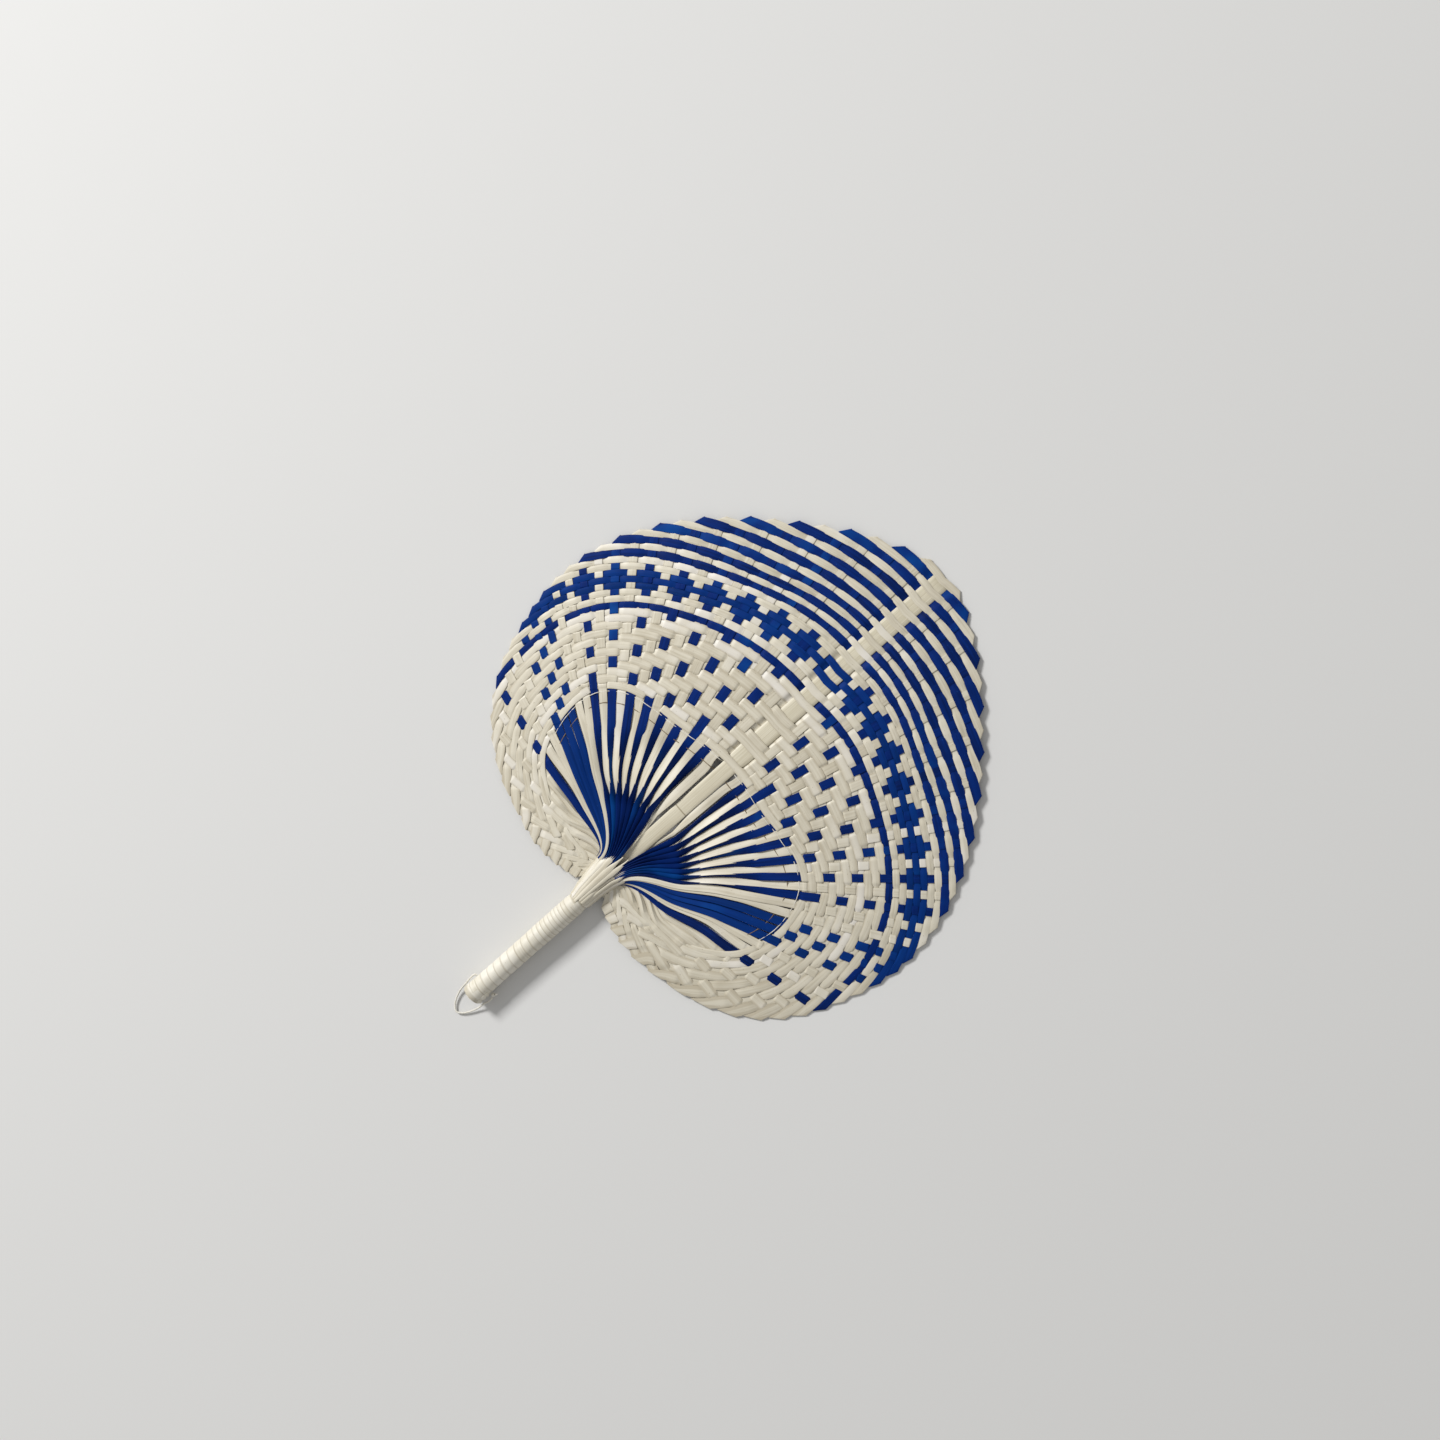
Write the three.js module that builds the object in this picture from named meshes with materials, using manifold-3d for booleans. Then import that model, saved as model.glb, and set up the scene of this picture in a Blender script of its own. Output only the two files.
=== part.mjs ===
// A plaited palm-strip hand fan, lying face up with its handle towards -Y and its tip towards +Y.
// Lengths are in millimetres and angles in degrees. The throat, where the strips are gathered,
// is the working origin; the finished group is set down on Z = 0 at the very end.
import * as THREE from 'three';
import { mergeVertices } from 'three/addons/utils/BufferGeometryUtils.js';
import Module from 'manifold-3d';

const wasm = await Module();
wasm.setup();

// Blade
const stripCount = 36;
const bladeReach = 250.5; // throat to the line of rim folds, along the spine
const weaveReach = 91.6; // throat to the innermost crossing strip, along the spine
const stripWidth = 5;
const stripThickness = 0.5;
const layerGap = 0.3; // between the spreading run and the crossing run of the strips
const edgeGap = 0.5; // between neighbouring strips
const foldRun = 0.5; // length over which a strip steps from one layer to the other
const warpStep = 36; // longest straight stretch along a spreading strip
const lobeStripNumber = 20; // from here round the lobes, crossing runs bend at every strip
const tangentShare = 0.05; // part of a strip's spacing over which a crossing run's direction is taken
const spineClearance = 8; // how far the first strips are pushed aside by the splint at the throat
const loosenedStrips = 16; // strips over which that push dies away

// Half outlines, one share every ten degrees from the tip round to the handle
const profileStepAngle = 10;
const foldReachShares = [1, 0.949, 0.885, 0.834, 0.788, 0.738, 0.676, 0.598, 0.526, 0.445, 0.353,
  0.267, 0.21, 0.161, 0.123, 0.099, 0.09];
const weaveReachShares = [1, 1.004, 1.02, 1.08, 1.15, 1.168, 1.103, 0.993, 0.868, 0.66, 0.431, 0.273,
  0.213, 0.218, 0.25, 0.28, 0.29];

// Fan-out of the strips: nearly even, opening up round the lobes
const evenFan = 3.2; // degrees from one strip to the next
const lastStripAngle = 148; // where the last strip folds, beside the handle
const fanPower = 5;

// Dome of the blade
const domeCentre = 99; // throat to the highest point of the blade
const domeRadius = 150;

// Splint: one bamboo slat from the butt to the tip
const splintTip = 248;
const splintHandleWidth = 8;
const splintBladeWidth = 9.5;
const splintWeaveWidth = 11;
const splintThickness = 1.6;
const splintStep = 20;
const splintFlare = 8; // length over which the splint widens where the weave begins

// Gathered tails: throat, sheath and the core under the winding
const gatherRadius = 30;
const gatherShare = 0.6; // of the distance from the throat to the weave, in the lobes
const gatherClearance = 0.6;
const gatherRingShares = [0.35, 0.7, 1]; // of that reach
const gatherPower = 1.4; // how quickly the swelling thins outwards
const gatherSteps = 60;
const sheathLength = 27;
const sheathWidth = 16.8;
const sheathThickness = 10.6;
const sheathEndWidth = 11.8;
const sheathMouthShare = 0.33; // of its width, how far the sheath runs on into the throat
const tailSides = 20;
const coreTopRadius = 4.95;
const coreButtRadius = 5.45;
const handleLength = 87.5;
const tailClearance = 0.3; // round the splint inside the bundle

// Winding of the handle: one strip, wound round the tails
const windingTurns = 17;
const windingThickness = 0.6;
const windingGap = 0.3; // to the tails under it
const windingSelfGap = 0.5;
const buttStub = 1; // tails that show past the last turn
const turnSteps = 24;
// Section of the wound strip: shares of its width, and of its thickness
const windingSectionShares = [[-0.5, 0], [0.5, 0], [0.5, 0.6], [0.25, 1], [-0.25, 1], [-0.5, 0.6]];

// Hanging loop
const loopDiameter = 1.1;
const loopHalfWidth = 7.6;
const loopDrop = 14.5; // how far the loop reaches past the butt
const loopHeight = 11; // above the butt, where the loop leaves the winding
const loopSides = 8;
const loopSteps = 40;
const knotRadius = 1.5;
const knotEntryShare = 0.6; // of its radius, how far out the loop runs into the knot
// Route of the loop round the butt: shares of its half width, of its drop and of the depth to the table
const loopRouteShares = [
  [-1.07, -0.455, 0.16],
  [-1, -0.15, 0.45],
  [-0.92, 0.25, 0.7],
  [-0.66, 0.62, 0.79],
  [-0.3, 0.88, 0.825],
  [0.12, 1, 0.825],
  [0.5, 0.86, 0.825],
  [0.82, 0.56, 0.79],
  [1.02, 0.2, 0.68],
  [1.1, -0.15, 0.45],
  [1.23, -0.455, 0.2],
];

// Threads that hold the strips side by side inside the weave
const threadDiameter = 0.5;
const paleThreadInset = 3.4; // from the innermost crossing strip
const brownThreadInset = 10;
const threadedStrips = 22;
const threadSides = 6;

const dyedStrips = [1, 3, 5, 7, 9, 11, 13, 15, 18, 19, 20, 23];

const windingOuter = coreButtRadius + windingGap + windingThickness;
const bladeHalf = layerGap / 2 + stripThickness;
const domeCurve = (windingOuter - bladeHalf) / (domeRadius ** 2 - domeCentre ** 2);
const lastStrip = stripCount - 1;
const fanGrowth = (lastStripAngle - evenFan * stripCount) / stripCount ** fanPower;

// Height of the blade's middle surface: level with the handle's axis at the throat,
// and low enough at the rim to rest on the same table as the winding.
function domeHeight(x, y) {
  return domeCurve * (domeCentre ** 2 - x ** 2 - (y - domeCentre) ** 2);
}

function profile(shares) {
  const points = shares.map((share, i) => new THREE.Vector2(i * profileStepAngle, share));
  const curve = new THREE.SplineCurve(points);
  const span = (shares.length - 1) * profileStepAngle;
  return (angle) => curve.getPoint(THREE.MathUtils.clamp(angle / span, 0, 1)).y;
}
const foldShare = profile(foldReachShares);
const weaveShare = profile(weaveReachShares);

// Strip 0 lies beside the spine and strip 35 beside the handle; -1 is the spine itself.
function fanAngle(strip) {
  return evenFan * (strip + 1) + fanGrowth * (strip + 1) ** fanPower;
}

function foldReach(strip) {
  return bladeReach * foldShare(fanAngle(strip));
}

function innerReach(strip) {
  return weaveReach * weaveShare(fanAngle(strip));
}

// Distance between crossing strips, measured along a spreading strip.
function crossingPitch(strip) {
  const inside = Math.min(strip, lastStrip - 1.5);
  return (foldReach(inside) - innerReach(inside)) / (lastStrip - inside);
}

function crossingReach(crossing, strip) {
  return foldReach(strip) - crossingPitch(strip) * (crossing - strip);
}

// The point at a distance from the throat along a strip, pushed aside by the splint.
function onStrip(strip, reach) {
  const fade = strip < 0 ? strip + 1 : Math.max(0, 1 - (strip / loosenedStrips) ** 2);
  const push = (spineClearance * Math.max(0, 1 - reach / foldReach(strip)) * fade) / reach;
  const angle = THREE.MathUtils.degToRad(fanAngle(strip)) + push;
  return new THREE.Vector2(reach * Math.sin(angle), reach * Math.cos(angle));
}

function crossingPoint(crossing, strip) {
  return onStrip(strip, crossingReach(crossing, strip));
}

// A quarter turn clockwise, as seen from the front of the fan.
function turned(v) {
  return new THREE.Vector2(v.y, -v.x);
}

function meet(p, u, q, w) {
  const d = q.clone().sub(p);
  const t = d.cross(w) / u.cross(w);
  return p.clone().addScaledVector(u, t);
}

// Joins cross-sections of equal point count into one closed body.
function skin(sections) {
  const sides = sections[0].length;
  const positions = sections.flat().flatMap((p) => [p.x, p.y, p.z]);
  const index = [];
  for (let k = 0; k + 1 < sections.length; k++) {
    for (let i = 0; i < sides; i++) {
      const a = k * sides + i;
      const b = k * sides + ((i + 1) % sides);
      index.push(a, a + sides, b + sides, a, b + sides, b);
    }
  }
  const end = (sections.length - 1) * sides;
  for (let i = 1; i + 1 < sides; i++) {
    index.push(0, i, i + 1, end, end + i + 1, end + i);
  }
  const geometry = new THREE.BufferGeometry();
  geometry.setAttribute('position', new THREE.Float32BufferAttribute(positions, 3));
  geometry.setIndex(index);
  return closed(geometry);
}

// Merges equal vertices and drops the triangles that this collapses.
function closed(geometry) {
  geometry.deleteAttribute('normal');
  geometry.deleteAttribute('uv');
  const merged = mergeVertices(geometry);
  const kept = [];
  for (let i = 0; i < merged.index.count; i += 3) {
    const [a, b, c] = [0, 1, 2].map((n) => merged.index.getX(i + n));
    if (a !== b && b !== c && c !== a) kept.push(a, b, c);
  }
  merged.setIndex(kept);
  merged.computeVertexNormals();
  return merged;
}

function solidOf(geometry) {
  const g = closed(geometry.clone());
  return new wasm.Manifold(new wasm.Mesh({
    numProp: 3,
    vertProperties: g.attributes.position.array,
    triVerts: new Uint32Array(g.index.array),
  }));
}

function geometryOf(solid) {
  const mesh = solid.getMesh();
  const geometry = new THREE.BufferGeometry();
  geometry.setAttribute('position', new THREE.BufferAttribute(mesh.vertProperties, 3));
  geometry.setIndex(new THREE.BufferAttribute(mesh.triVerts, 1));
  return closed(geometry);
}

// A station of a flat strip: its two edges, and its underside and face above the middle surface.
function station(a, b, low, high) {
  const at = (p, rise) => new THREE.Vector3(p.x, p.y, domeHeight(p.x, p.y) + rise);
  return [at(a, low), at(b, low), at(b, high), at(a, high)];
}

const under = [-layerGap / 2 - stripThickness, -layerGap / 2];
const over = [layerGap / 2, layerGap / 2 + stripThickness];
const through = [under[0], over[1]];

function halfWidthOf(spacing) {
  return Math.min(stripWidth, spacing - edgeGap) / 2;
}

// Half width of a spreading strip, narrowing towards the throat as its neighbours close in.
function warpHalfWidth(strip, reach) {
  const here = onStrip(strip, reach);
  const outer = here.distanceTo(onStrip(strip + 1, reach));
  const inner = strip > 0 ? here.distanceTo(onStrip(strip - 1, reach)) : outer;
  return halfWidthOf(Math.min(outer, inner));
}

function warpFrame(strip, reach) {
  const point = onStrip(strip, reach);
  const along = point.clone().normalize();
  return { point, along, away: turned(along), half: warpHalfWidth(strip, reach) };
}

function weftFrame(crossing, strip) {
  const point = crossingPoint(crossing, strip);
  const before = crossingPoint(crossing, strip < 0 ? strip : strip - tangentShare);
  const along = crossingPoint(crossing, strip + tangentShare).sub(before).normalize();
  if (strip < 0) along.set(1, 0);
  const outward = turned(along).negate();
  const pitch = crossingPitch(strip) * Math.abs(outward.dot(point.clone().normalize()));
  return { point, along, outward, half: halfWidthOf(pitch) };
}

// How far out the gathered tails reach, at an angle from the tip.
function gatherReach(angle) {
  return Math.min(gatherRadius, gatherShare * weaveReach * weaveShare(angle));
}

// A spreading strip starts clear of the tails along the whole of its cut end.
function warpStart(strip) {
  const reaches = [strip - 0.5, strip, strip + 0.5].map((edge) => {
    const point = onStrip(edge, gatherRadius);
    return gatherReach(THREE.MathUtils.radToDeg(Math.atan2(point.x, point.y)));
  });
  return Math.max(...reaches) + gatherClearance;
}

// The right half of a strip, from the spine out along its crossing run, over the diagonal fold
// at the rim, and back along its spreading run to the throat.
function stripHalf(strip) {
  const stations = [];
  for (let s = 0; s <= strip - 1; s += s < lobeStripNumber ? 2 : 1) {
    const f = weftFrame(strip, s);
    const rise = f.outward.clone().multiplyScalar(f.half);
    stations.push(station(f.point.clone().add(rise), f.point.clone().sub(rise), ...over));
  }
  const weft = weftFrame(strip, strip);
  const warp = warpFrame(strip, foldReach(strip));
  const nearEdge = warp.point.clone().addScaledVector(warp.away, -warp.half);
  const awayEdge = warp.point.clone().addScaledVector(warp.away, warp.half);
  const lowEdge = weft.point.clone().addScaledVector(weft.outward, -weft.half);
  const highEdge = weft.point.clone().addScaledVector(weft.outward, weft.half);
  const corner = meet(nearEdge, warp.along, lowEdge, weft.along);
  const heel = meet(awayEdge, warp.along, lowEdge, weft.along);
  const toe = meet(nearEdge, warp.along, highEdge, weft.along);
  const back = weft.along.clone().multiplyScalar(-foldRun);
  const down = warp.along.clone().multiplyScalar(-foldRun);
  stations.push(station(toe.clone().add(back), corner.clone().add(back), ...over));
  stations.push(station(toe, corner, ...through));
  stations.push(station(heel, corner, ...through));
  stations.push(station(heel.clone().add(down), corner.clone().add(down), ...under));
  const top = Math.min(heel.length(), corner.length()) - foldRun;
  const bottom = warpStart(strip);
  const steps = Math.max(1, Math.ceil((top - bottom) / warpStep));
  for (let k = 1; k <= steps; k++) {
    const f = warpFrame(strip, top + ((bottom - top) * k) / steps);
    const aside = f.away.clone().multiplyScalar(f.half);
    stations.push(station(f.point.clone().add(aside), f.point.clone().sub(aside), ...under));
  }
  return stations;
}

// One whole strip: throat, left rim, across the spine, right rim, throat.
function stripGeometry(strip) {
  const right = stripHalf(strip);
  const left = right.map((points) => points.map((p) => new THREE.Vector3(-p.x, p.y, p.z))).reverse();
  const f = weftFrame(strip, -1);
  const rise = f.outward.clone().multiplyScalar(f.half);
  const middle = station(f.point.clone().add(rise), f.point.clone().sub(rise), ...over);
  return skin([...left, middle, ...right]);
}

// Width and thickness of the splint at a height above the throat.
function splintSize(y) {
  const inBlade = THREE.MathUtils.clamp(y / weaveReach, 0, 1);
  const inWeave = THREE.MathUtils.clamp((y - weaveReach) / splintFlare, 0, 1);
  const plain = THREE.MathUtils.lerp(splintHandleWidth, splintBladeWidth, inBlade);
  const thinned = THREE.MathUtils.clamp(y / splintTip, 0, 1);
  return {
    half: THREE.MathUtils.lerp(plain, splintWeaveWidth, inWeave) / 2,
    thickness: THREE.MathUtils.lerp(splintThickness, stripThickness, thinned),
  };
}

// The splint, or the room it needs when it is grown by a clearance.
function splintGeometry(clearance) {
  const butt = -sheathLength - handleLength;
  const heights = [butt - clearance, 0];
  const last = splintTip + clearance;
  const steps = Math.ceil(last / splintStep);
  for (let k = 1; k <= steps; k++) heights.push((last * k) / steps);
  heights.push(weaveReach, weaveReach + splintFlare);
  heights.sort((a, b) => a - b);
  return skin(heights.map((y) => {
    const { half, thickness } = splintSize(y);
    const face = (y > 0 ? domeHeight(0, y) : 0) - layerGap / 2;
    const [w, low, high] = [half + clearance, face - thickness - clearance, face + clearance];
    return [[-w, low], [w, low], [w, high], [-w, high]].map(([x, z]) => new THREE.Vector3(x, y, z));
  }));
}

// A body of elliptical sections stacked along Y, listed from the tip end to the butt.
function loftGeometry(sections, sides) {
  const rising = [...sections].reverse();
  return skin(rising.map(({ y, width, thickness }) => Array.from({ length: sides }, (_, i) => {
    const turn = (i / sides) * Math.PI * 2;
    return new THREE.Vector3((width / 2) * Math.cos(turn), y, (thickness / 2) * Math.sin(turn));
  })));
}

// The swelling at the throat where all the strips come together.
function gatherGeometry() {
  const steps = gatherSteps;
  const rings = gatherRingShares;
  const centreHalf = sheathThickness / 2;
  const positions = [0, 0, centreHalf, 0, 0, -centreHalf];
  for (const side of [1, -1]) {
    for (const ring of rings) {
      for (let m = 0; m < steps; m++) {
        const angle = THREE.MathUtils.degToRad((m * 360) / steps);
        const folded = Math.abs(((m * 360) / steps + 180) % 360 - 180);
        const reach = gatherReach(folded) * ring;
        const [x, y] = [reach * Math.sin(angle), reach * Math.cos(angle)];
        const half = THREE.MathUtils.lerp(centreHalf, bladeHalf, ring ** gatherPower);
        positions.push(x, y, domeHeight(x, y) + side * half);
      }
    }
  }
  const at = (side, ring, m) => 2 + (side * rings.length + ring) * steps + (m % steps);
  const index = [];
  for (let m = 0; m < steps; m++) {
    index.push(0, at(0, 0, m + 1), at(0, 0, m), 1, at(1, 0, m), at(1, 0, m + 1));
    for (let r = 0; r + 1 < rings.length; r++) {
      const [a, b, c, d] = [at(0, r, m), at(0, r, m + 1), at(0, r + 1, m + 1), at(0, r + 1, m)];
      index.push(a, b, c, a, c, d);
      const [e, f, g, h] = [at(1, r, m), at(1, r, m + 1), at(1, r + 1, m + 1), at(1, r + 1, m)];
      index.push(e, g, f, e, h, g);
    }
    const rim = rings.length - 1;
    const [a, b, c, d] = [at(0, rim, m), at(0, rim, m + 1), at(1, rim, m + 1), at(1, rim, m)];
    index.push(a, b, c, a, c, d);
  }
  const geometry = new THREE.BufferGeometry();
  geometry.setAttribute('position', new THREE.Float32BufferAttribute(positions, 3));
  geometry.setIndex(index);
  return geometry;
}

function coreRadius(y) {
  const share = THREE.MathUtils.clamp((-y - sheathLength) / handleLength, 0, 1);
  return THREE.MathUtils.lerp(coreTopRadius, coreButtRadius, share);
}

// The packed tails of all the strips: a flared throat, a tapering sheath and a round core.
function tailsGeometry() {
  const sheathEnd = -sheathLength;
  const butt = sheathEnd - handleLength;
  const mouth = sheathWidth * sheathMouthShare;
  const sheath = loftGeometry([
    { y: mouth, width: sheathWidth / 2, thickness: sheathThickness / 2 },
    { y: 0, width: sheathWidth, thickness: sheathThickness },
    { y: sheathEnd / 2, width: (sheathWidth + sheathEndWidth) / 2, thickness: sheathEndWidth },
    { y: sheathEnd, width: sheathEndWidth, thickness: sheathEndWidth },
  ], tailSides);
  const core = loftGeometry([
    { y: sheathEnd / 2, width: 2 * coreTopRadius, thickness: 2 * coreTopRadius },
    { y: sheathEnd, width: 2 * coreTopRadius, thickness: 2 * coreTopRadius },
    { y: butt, width: 2 * coreButtRadius, thickness: 2 * coreButtRadius },
  ], tailSides);
  const whole = solidOf(gatherGeometry()).add(solidOf(sheath)).add(solidOf(core));
  return geometryOf(whole.subtract(solidOf(splintGeometry(tailClearance))));
}

// The winding as one unbroken flat strip, its crossing edges kept apart by the self gap.
const woundLength = handleLength - buttStub - windingGap;
const windingPitch = (woundLength + windingSelfGap) / (windingTurns + 1);
const windingWidth = windingPitch - windingSelfGap;

function windingSections() {
  const start = -sheathLength - windingGap - windingWidth / 2;
  const count = windingTurns * turnSteps;
  const section = (step, run) => {
    const turn = (step / turnSteps) * Math.PI * 2;
    const y = start - (step / turnSteps) * windingPitch;
    const out = new THREE.Vector3(Math.sin(turn), 0, Math.cos(turn));
    const ahead = new THREE.Vector3(Math.cos(turn), 0, -Math.sin(turn));
    return windingSectionShares.map(([across, rise]) => {
      const radius = coreRadius(y) + windingGap + rise * windingThickness;
      return out.clone().multiplyScalar(radius).addScaledVector(ahead, run)
        .add(new THREE.Vector3(0, y - across * windingWidth, 0));
    });
  };
  const sections = [section(0, -windingThickness)];
  for (let step = 0; step <= count; step++) sections.push(section(step, 0));
  sections.push(section(count, windingThickness));
  return sections;
}

// Least distance between points at least half a turn apart along the winding.
function leastSelfGap(sections) {
  let least = Infinity;
  const apart = turnSteps / 2;
  for (let i = 0; i < sections.length; i++) {
    for (let k = i + apart; k < Math.min(sections.length, i + 2 * turnSteps); k++) {
      for (const p of sections[i]) {
        for (const q of sections[k]) least = Math.min(least, p.distanceTo(q));
      }
    }
  }
  return least;
}

function tubeGeometry(points, diameter, sides, steps) {
  const circle = new THREE.Shape();
  for (let i = 0; i < sides; i++) {
    const turn = (i / sides) * Math.PI * 2;
    const [x, y] = [(diameter / 2) * Math.cos(turn), (diameter / 2) * Math.sin(turn)];
    if (i) circle.lineTo(x, y);
    else circle.moveTo(x, y);
  }
  circle.closePath();
  const extrudePath = new THREE.CatmullRomCurve3(points);
  return closed(new THREE.ExtrudeGeometry(circle, { steps, extrudePath, bevelEnabled: false }));
}

// The loop leaves the winding at both sides and droops to the table behind the butt.
const buttY = -sheathLength - handleLength;
const tableZ = -windingOuter;
const loopExit = buttY + loopHeight;
const knotX = windingOuter + knotRadius + windingGap;
function loopPoints() {
  const leftStart = -windingOuter - windingGap;
  const round = loopRouteShares.map(([across, past, down]) => [
    loopHalfWidth * across,
    buttY - loopDrop * past,
    tableZ * down,
  ]);
  const route = [
    [leftStart, loopExit, 0],
    [leftStart - loopDiameter, loopExit - loopDiameter / 2, 0],
    ...round,
    [knotX + knotRadius * knotEntryShare, loopExit - knotRadius - windingGap, 0],
  ];
  return route.map(([x, y, z]) => new THREE.Vector3(x, y, z));
}

function knotGeometry() {
  const knot = new THREE.SphereGeometry(knotRadius, 10, 8);
  knot.translate(knotX, loopExit, 0);
  return closed(knot);
}

// A thread laid over the spreading strips, following the inner edge of the weave.
function threadGeometry(inset) {
  const rise = layerGap / 2 + threadDiameter / 2;
  const half = [];
  for (let strip = 0; strip < threadedStrips; strip++) {
    const p = onStrip(strip, innerReach(strip) - inset);
    half.push(new THREE.Vector3(p.x, p.y, domeHeight(p.x, p.y) + rise));
  }
  const middle = onStrip(-1, innerReach(-1) - inset);
  const centre = new THREE.Vector3(0, middle.y, domeHeight(0, middle.y) + rise);
  const left = half.map((p) => new THREE.Vector3(-p.x, p.y, p.z)).reverse();
  return tubeGeometry([...left, centre, ...half], threadDiameter, threadSides, 2 * threadedStrips);
}

const natural = { color: 0xddd3bd, roughness: 0.5, metalness: 0 };
const dyed = { color: 0x0c2590, roughness: 0.42, metalness: 0 };
const bamboo = { color: 0xd6c7a2, roughness: 0.45, metalness: 0 };
const pale = { color: 0xe8e3d4, roughness: 0.6, metalness: 0 };
const brown = { color: 0x8a7350, roughness: 0.7, metalness: 0 };

const fan = new THREE.Group();

function piece(name, geometry, look) {
  const mesh = new THREE.Mesh(geometry, new THREE.MeshStandardMaterial(look));
  mesh.name = name;
  fan.add(mesh);
}

for (let strip = 0; strip < stripCount; strip++) {
  const isDyed = dyedStrips.includes(strip);
  const number = String(strip + 1).padStart(2, '0');
  piece(`strip_${number}_${isDyed ? 'blue' : 'natural'}`, stripGeometry(strip), isDyed ? dyed : natural);
}
piece('bamboo_splint', splintGeometry(0), bamboo);
piece('gathered_tails', tailsGeometry(), natural);

const winding = windingSections();
console.log(`least gap of the winding to itself: ${leastSelfGap(winding).toFixed(3)} mm`);
piece('handle_winding', skin(winding), natural);
piece('edge_thread_pale', threadGeometry(paleThreadInset), pale);
piece('edge_thread_brown', threadGeometry(brownThreadInset), brown);

// The fan without its loop is what the group is centred on and set down by.
const footprint = new THREE.Box3().setFromObject(fan, true);
piece('loop_knot', knotGeometry(), pale);
piece('hanging_loop', tubeGeometry(loopPoints(), loopDiameter, loopSides, loopSteps), pale);

const middle = footprint.getCenter(new THREE.Vector3());
fan.position.set(-middle.x, -middle.y, -footprint.min.z);
const butt = new THREE.Vector3(0, buttY, -layerGap / 2 - splintThickness / 2).add(fan.position);
console.log(`butt face at ${butt.toArray().map((v) => v.toFixed(3)).join(', ')} mm`);

export default fan;
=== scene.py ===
import math

import bmesh
import bpy
from mathutils import Matrix, Vector, noise


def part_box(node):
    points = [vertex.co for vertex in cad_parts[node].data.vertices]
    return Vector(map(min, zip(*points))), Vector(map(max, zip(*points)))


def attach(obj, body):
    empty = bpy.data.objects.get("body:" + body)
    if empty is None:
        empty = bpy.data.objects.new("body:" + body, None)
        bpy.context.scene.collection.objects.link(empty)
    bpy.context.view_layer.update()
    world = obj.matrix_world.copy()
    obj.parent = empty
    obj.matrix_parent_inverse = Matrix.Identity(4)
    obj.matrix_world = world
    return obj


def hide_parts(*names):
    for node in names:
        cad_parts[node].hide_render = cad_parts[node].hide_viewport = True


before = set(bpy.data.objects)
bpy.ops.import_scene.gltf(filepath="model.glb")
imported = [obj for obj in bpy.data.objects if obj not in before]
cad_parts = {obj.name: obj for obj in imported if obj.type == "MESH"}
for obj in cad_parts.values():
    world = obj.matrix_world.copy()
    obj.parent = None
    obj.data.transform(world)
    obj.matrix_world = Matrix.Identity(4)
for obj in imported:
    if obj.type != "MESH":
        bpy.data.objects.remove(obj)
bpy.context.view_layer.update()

# The throat of the fan, where the handle meets the blade, is the point that everything below is
# measured from. It lies above the handle's butt by the length of the handle and the sheath.
sheath_length = 0.027
handle_length = 0.0875
butt_y = -sheath_length - handle_length
wound_low, wound_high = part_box("handle_winding")
throat = Vector((0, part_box("bamboo_splint")[0].y - butt_y, (wound_low.z + wound_high.z) / 2))

# The camera looks down on the fan, which lies on its back, from the photograph's side: a little
# from the handle's end and turned so that the tip points up to the right.
camera_distance = 1.1
camera_turn = math.radians(4.71)
camera_tilt = math.radians(-8.97)
camera_roll = math.radians(48.37)
camera_aim = Vector((-0.0236, 0.1018, 0))
camera_lens = 48.9


def hung(name, data):
    thing = bpy.data.objects.new(name, data)
    bpy.context.scene.collection.objects.link(thing)
    return thing


back = Vector((math.sin(camera_turn) * math.cos(camera_tilt), -math.sin(camera_tilt),
               math.cos(camera_turn) * math.cos(camera_tilt))).normalized()
level = Vector((0, 1, 0)).cross(back).normalized()
rising = back.cross(level)
camera_right = level * math.cos(camera_roll) + rising * math.sin(camera_roll)
camera_up = rising * math.cos(camera_roll) - level * math.sin(camera_roll)
camera = hung("camera", bpy.data.cameras.new("camera"))
camera.data.lens = camera_lens
camera.data.clip_start = 0.01
camera.matrix_world = (Matrix.Translation(throat + camera_aim + back * camera_distance)
                       @ Matrix((camera_right, camera_up, back)).transposed().to_4x4())
bpy.context.scene.camera = camera
bpy.context.scene.view_settings.view_transform = "Standard"


# Floor and light: a plain pale floor, a soft even sky and one broad lamp from the upper left of
# the picture, low enough for the plaiting to throw small shadows.
floor_size = 6
floor_colour = (0.7, 0.695, 0.68)
sky_strength = 0.4
lamp_offset = (-2.2, 2.1, 1.9)
lamp_size = 0.8
lamp_power = 133


class Value:
    """A socket of a material's nodes, written in sums as a number is."""

    def __init__(self, finish, socket):
        self.finish = finish
        self.socket = socket

    def math(self, operation, *terms):
        return self.finish.add("Math", {"operation": operation}, dict(enumerate(terms)))

    def __add__(self, other):
        return self.math("ADD", self, other)

    def __sub__(self, other):
        return self.math("SUBTRACT", self, other)

    def __rsub__(self, other):
        return self.math("SUBTRACT", other, self)

    def __mul__(self, other):
        return self.math("MULTIPLY", self, other)

    def __truediv__(self, other):
        return self.math("DIVIDE", self, other)

    def __abs__(self):
        return self.math("ABSOLUTE", self)

    def rounded(self):
        return self.math("ROUND", self)

    def between(self, low, high):
        """0 below low, 1 above high, and a smooth rise between them."""
        return self.finish.add("MapRange", {"interpolation_type": "SMOOTHSTEP"},
                               {"Value": self, "From Min": low, "From Max": high})


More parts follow.
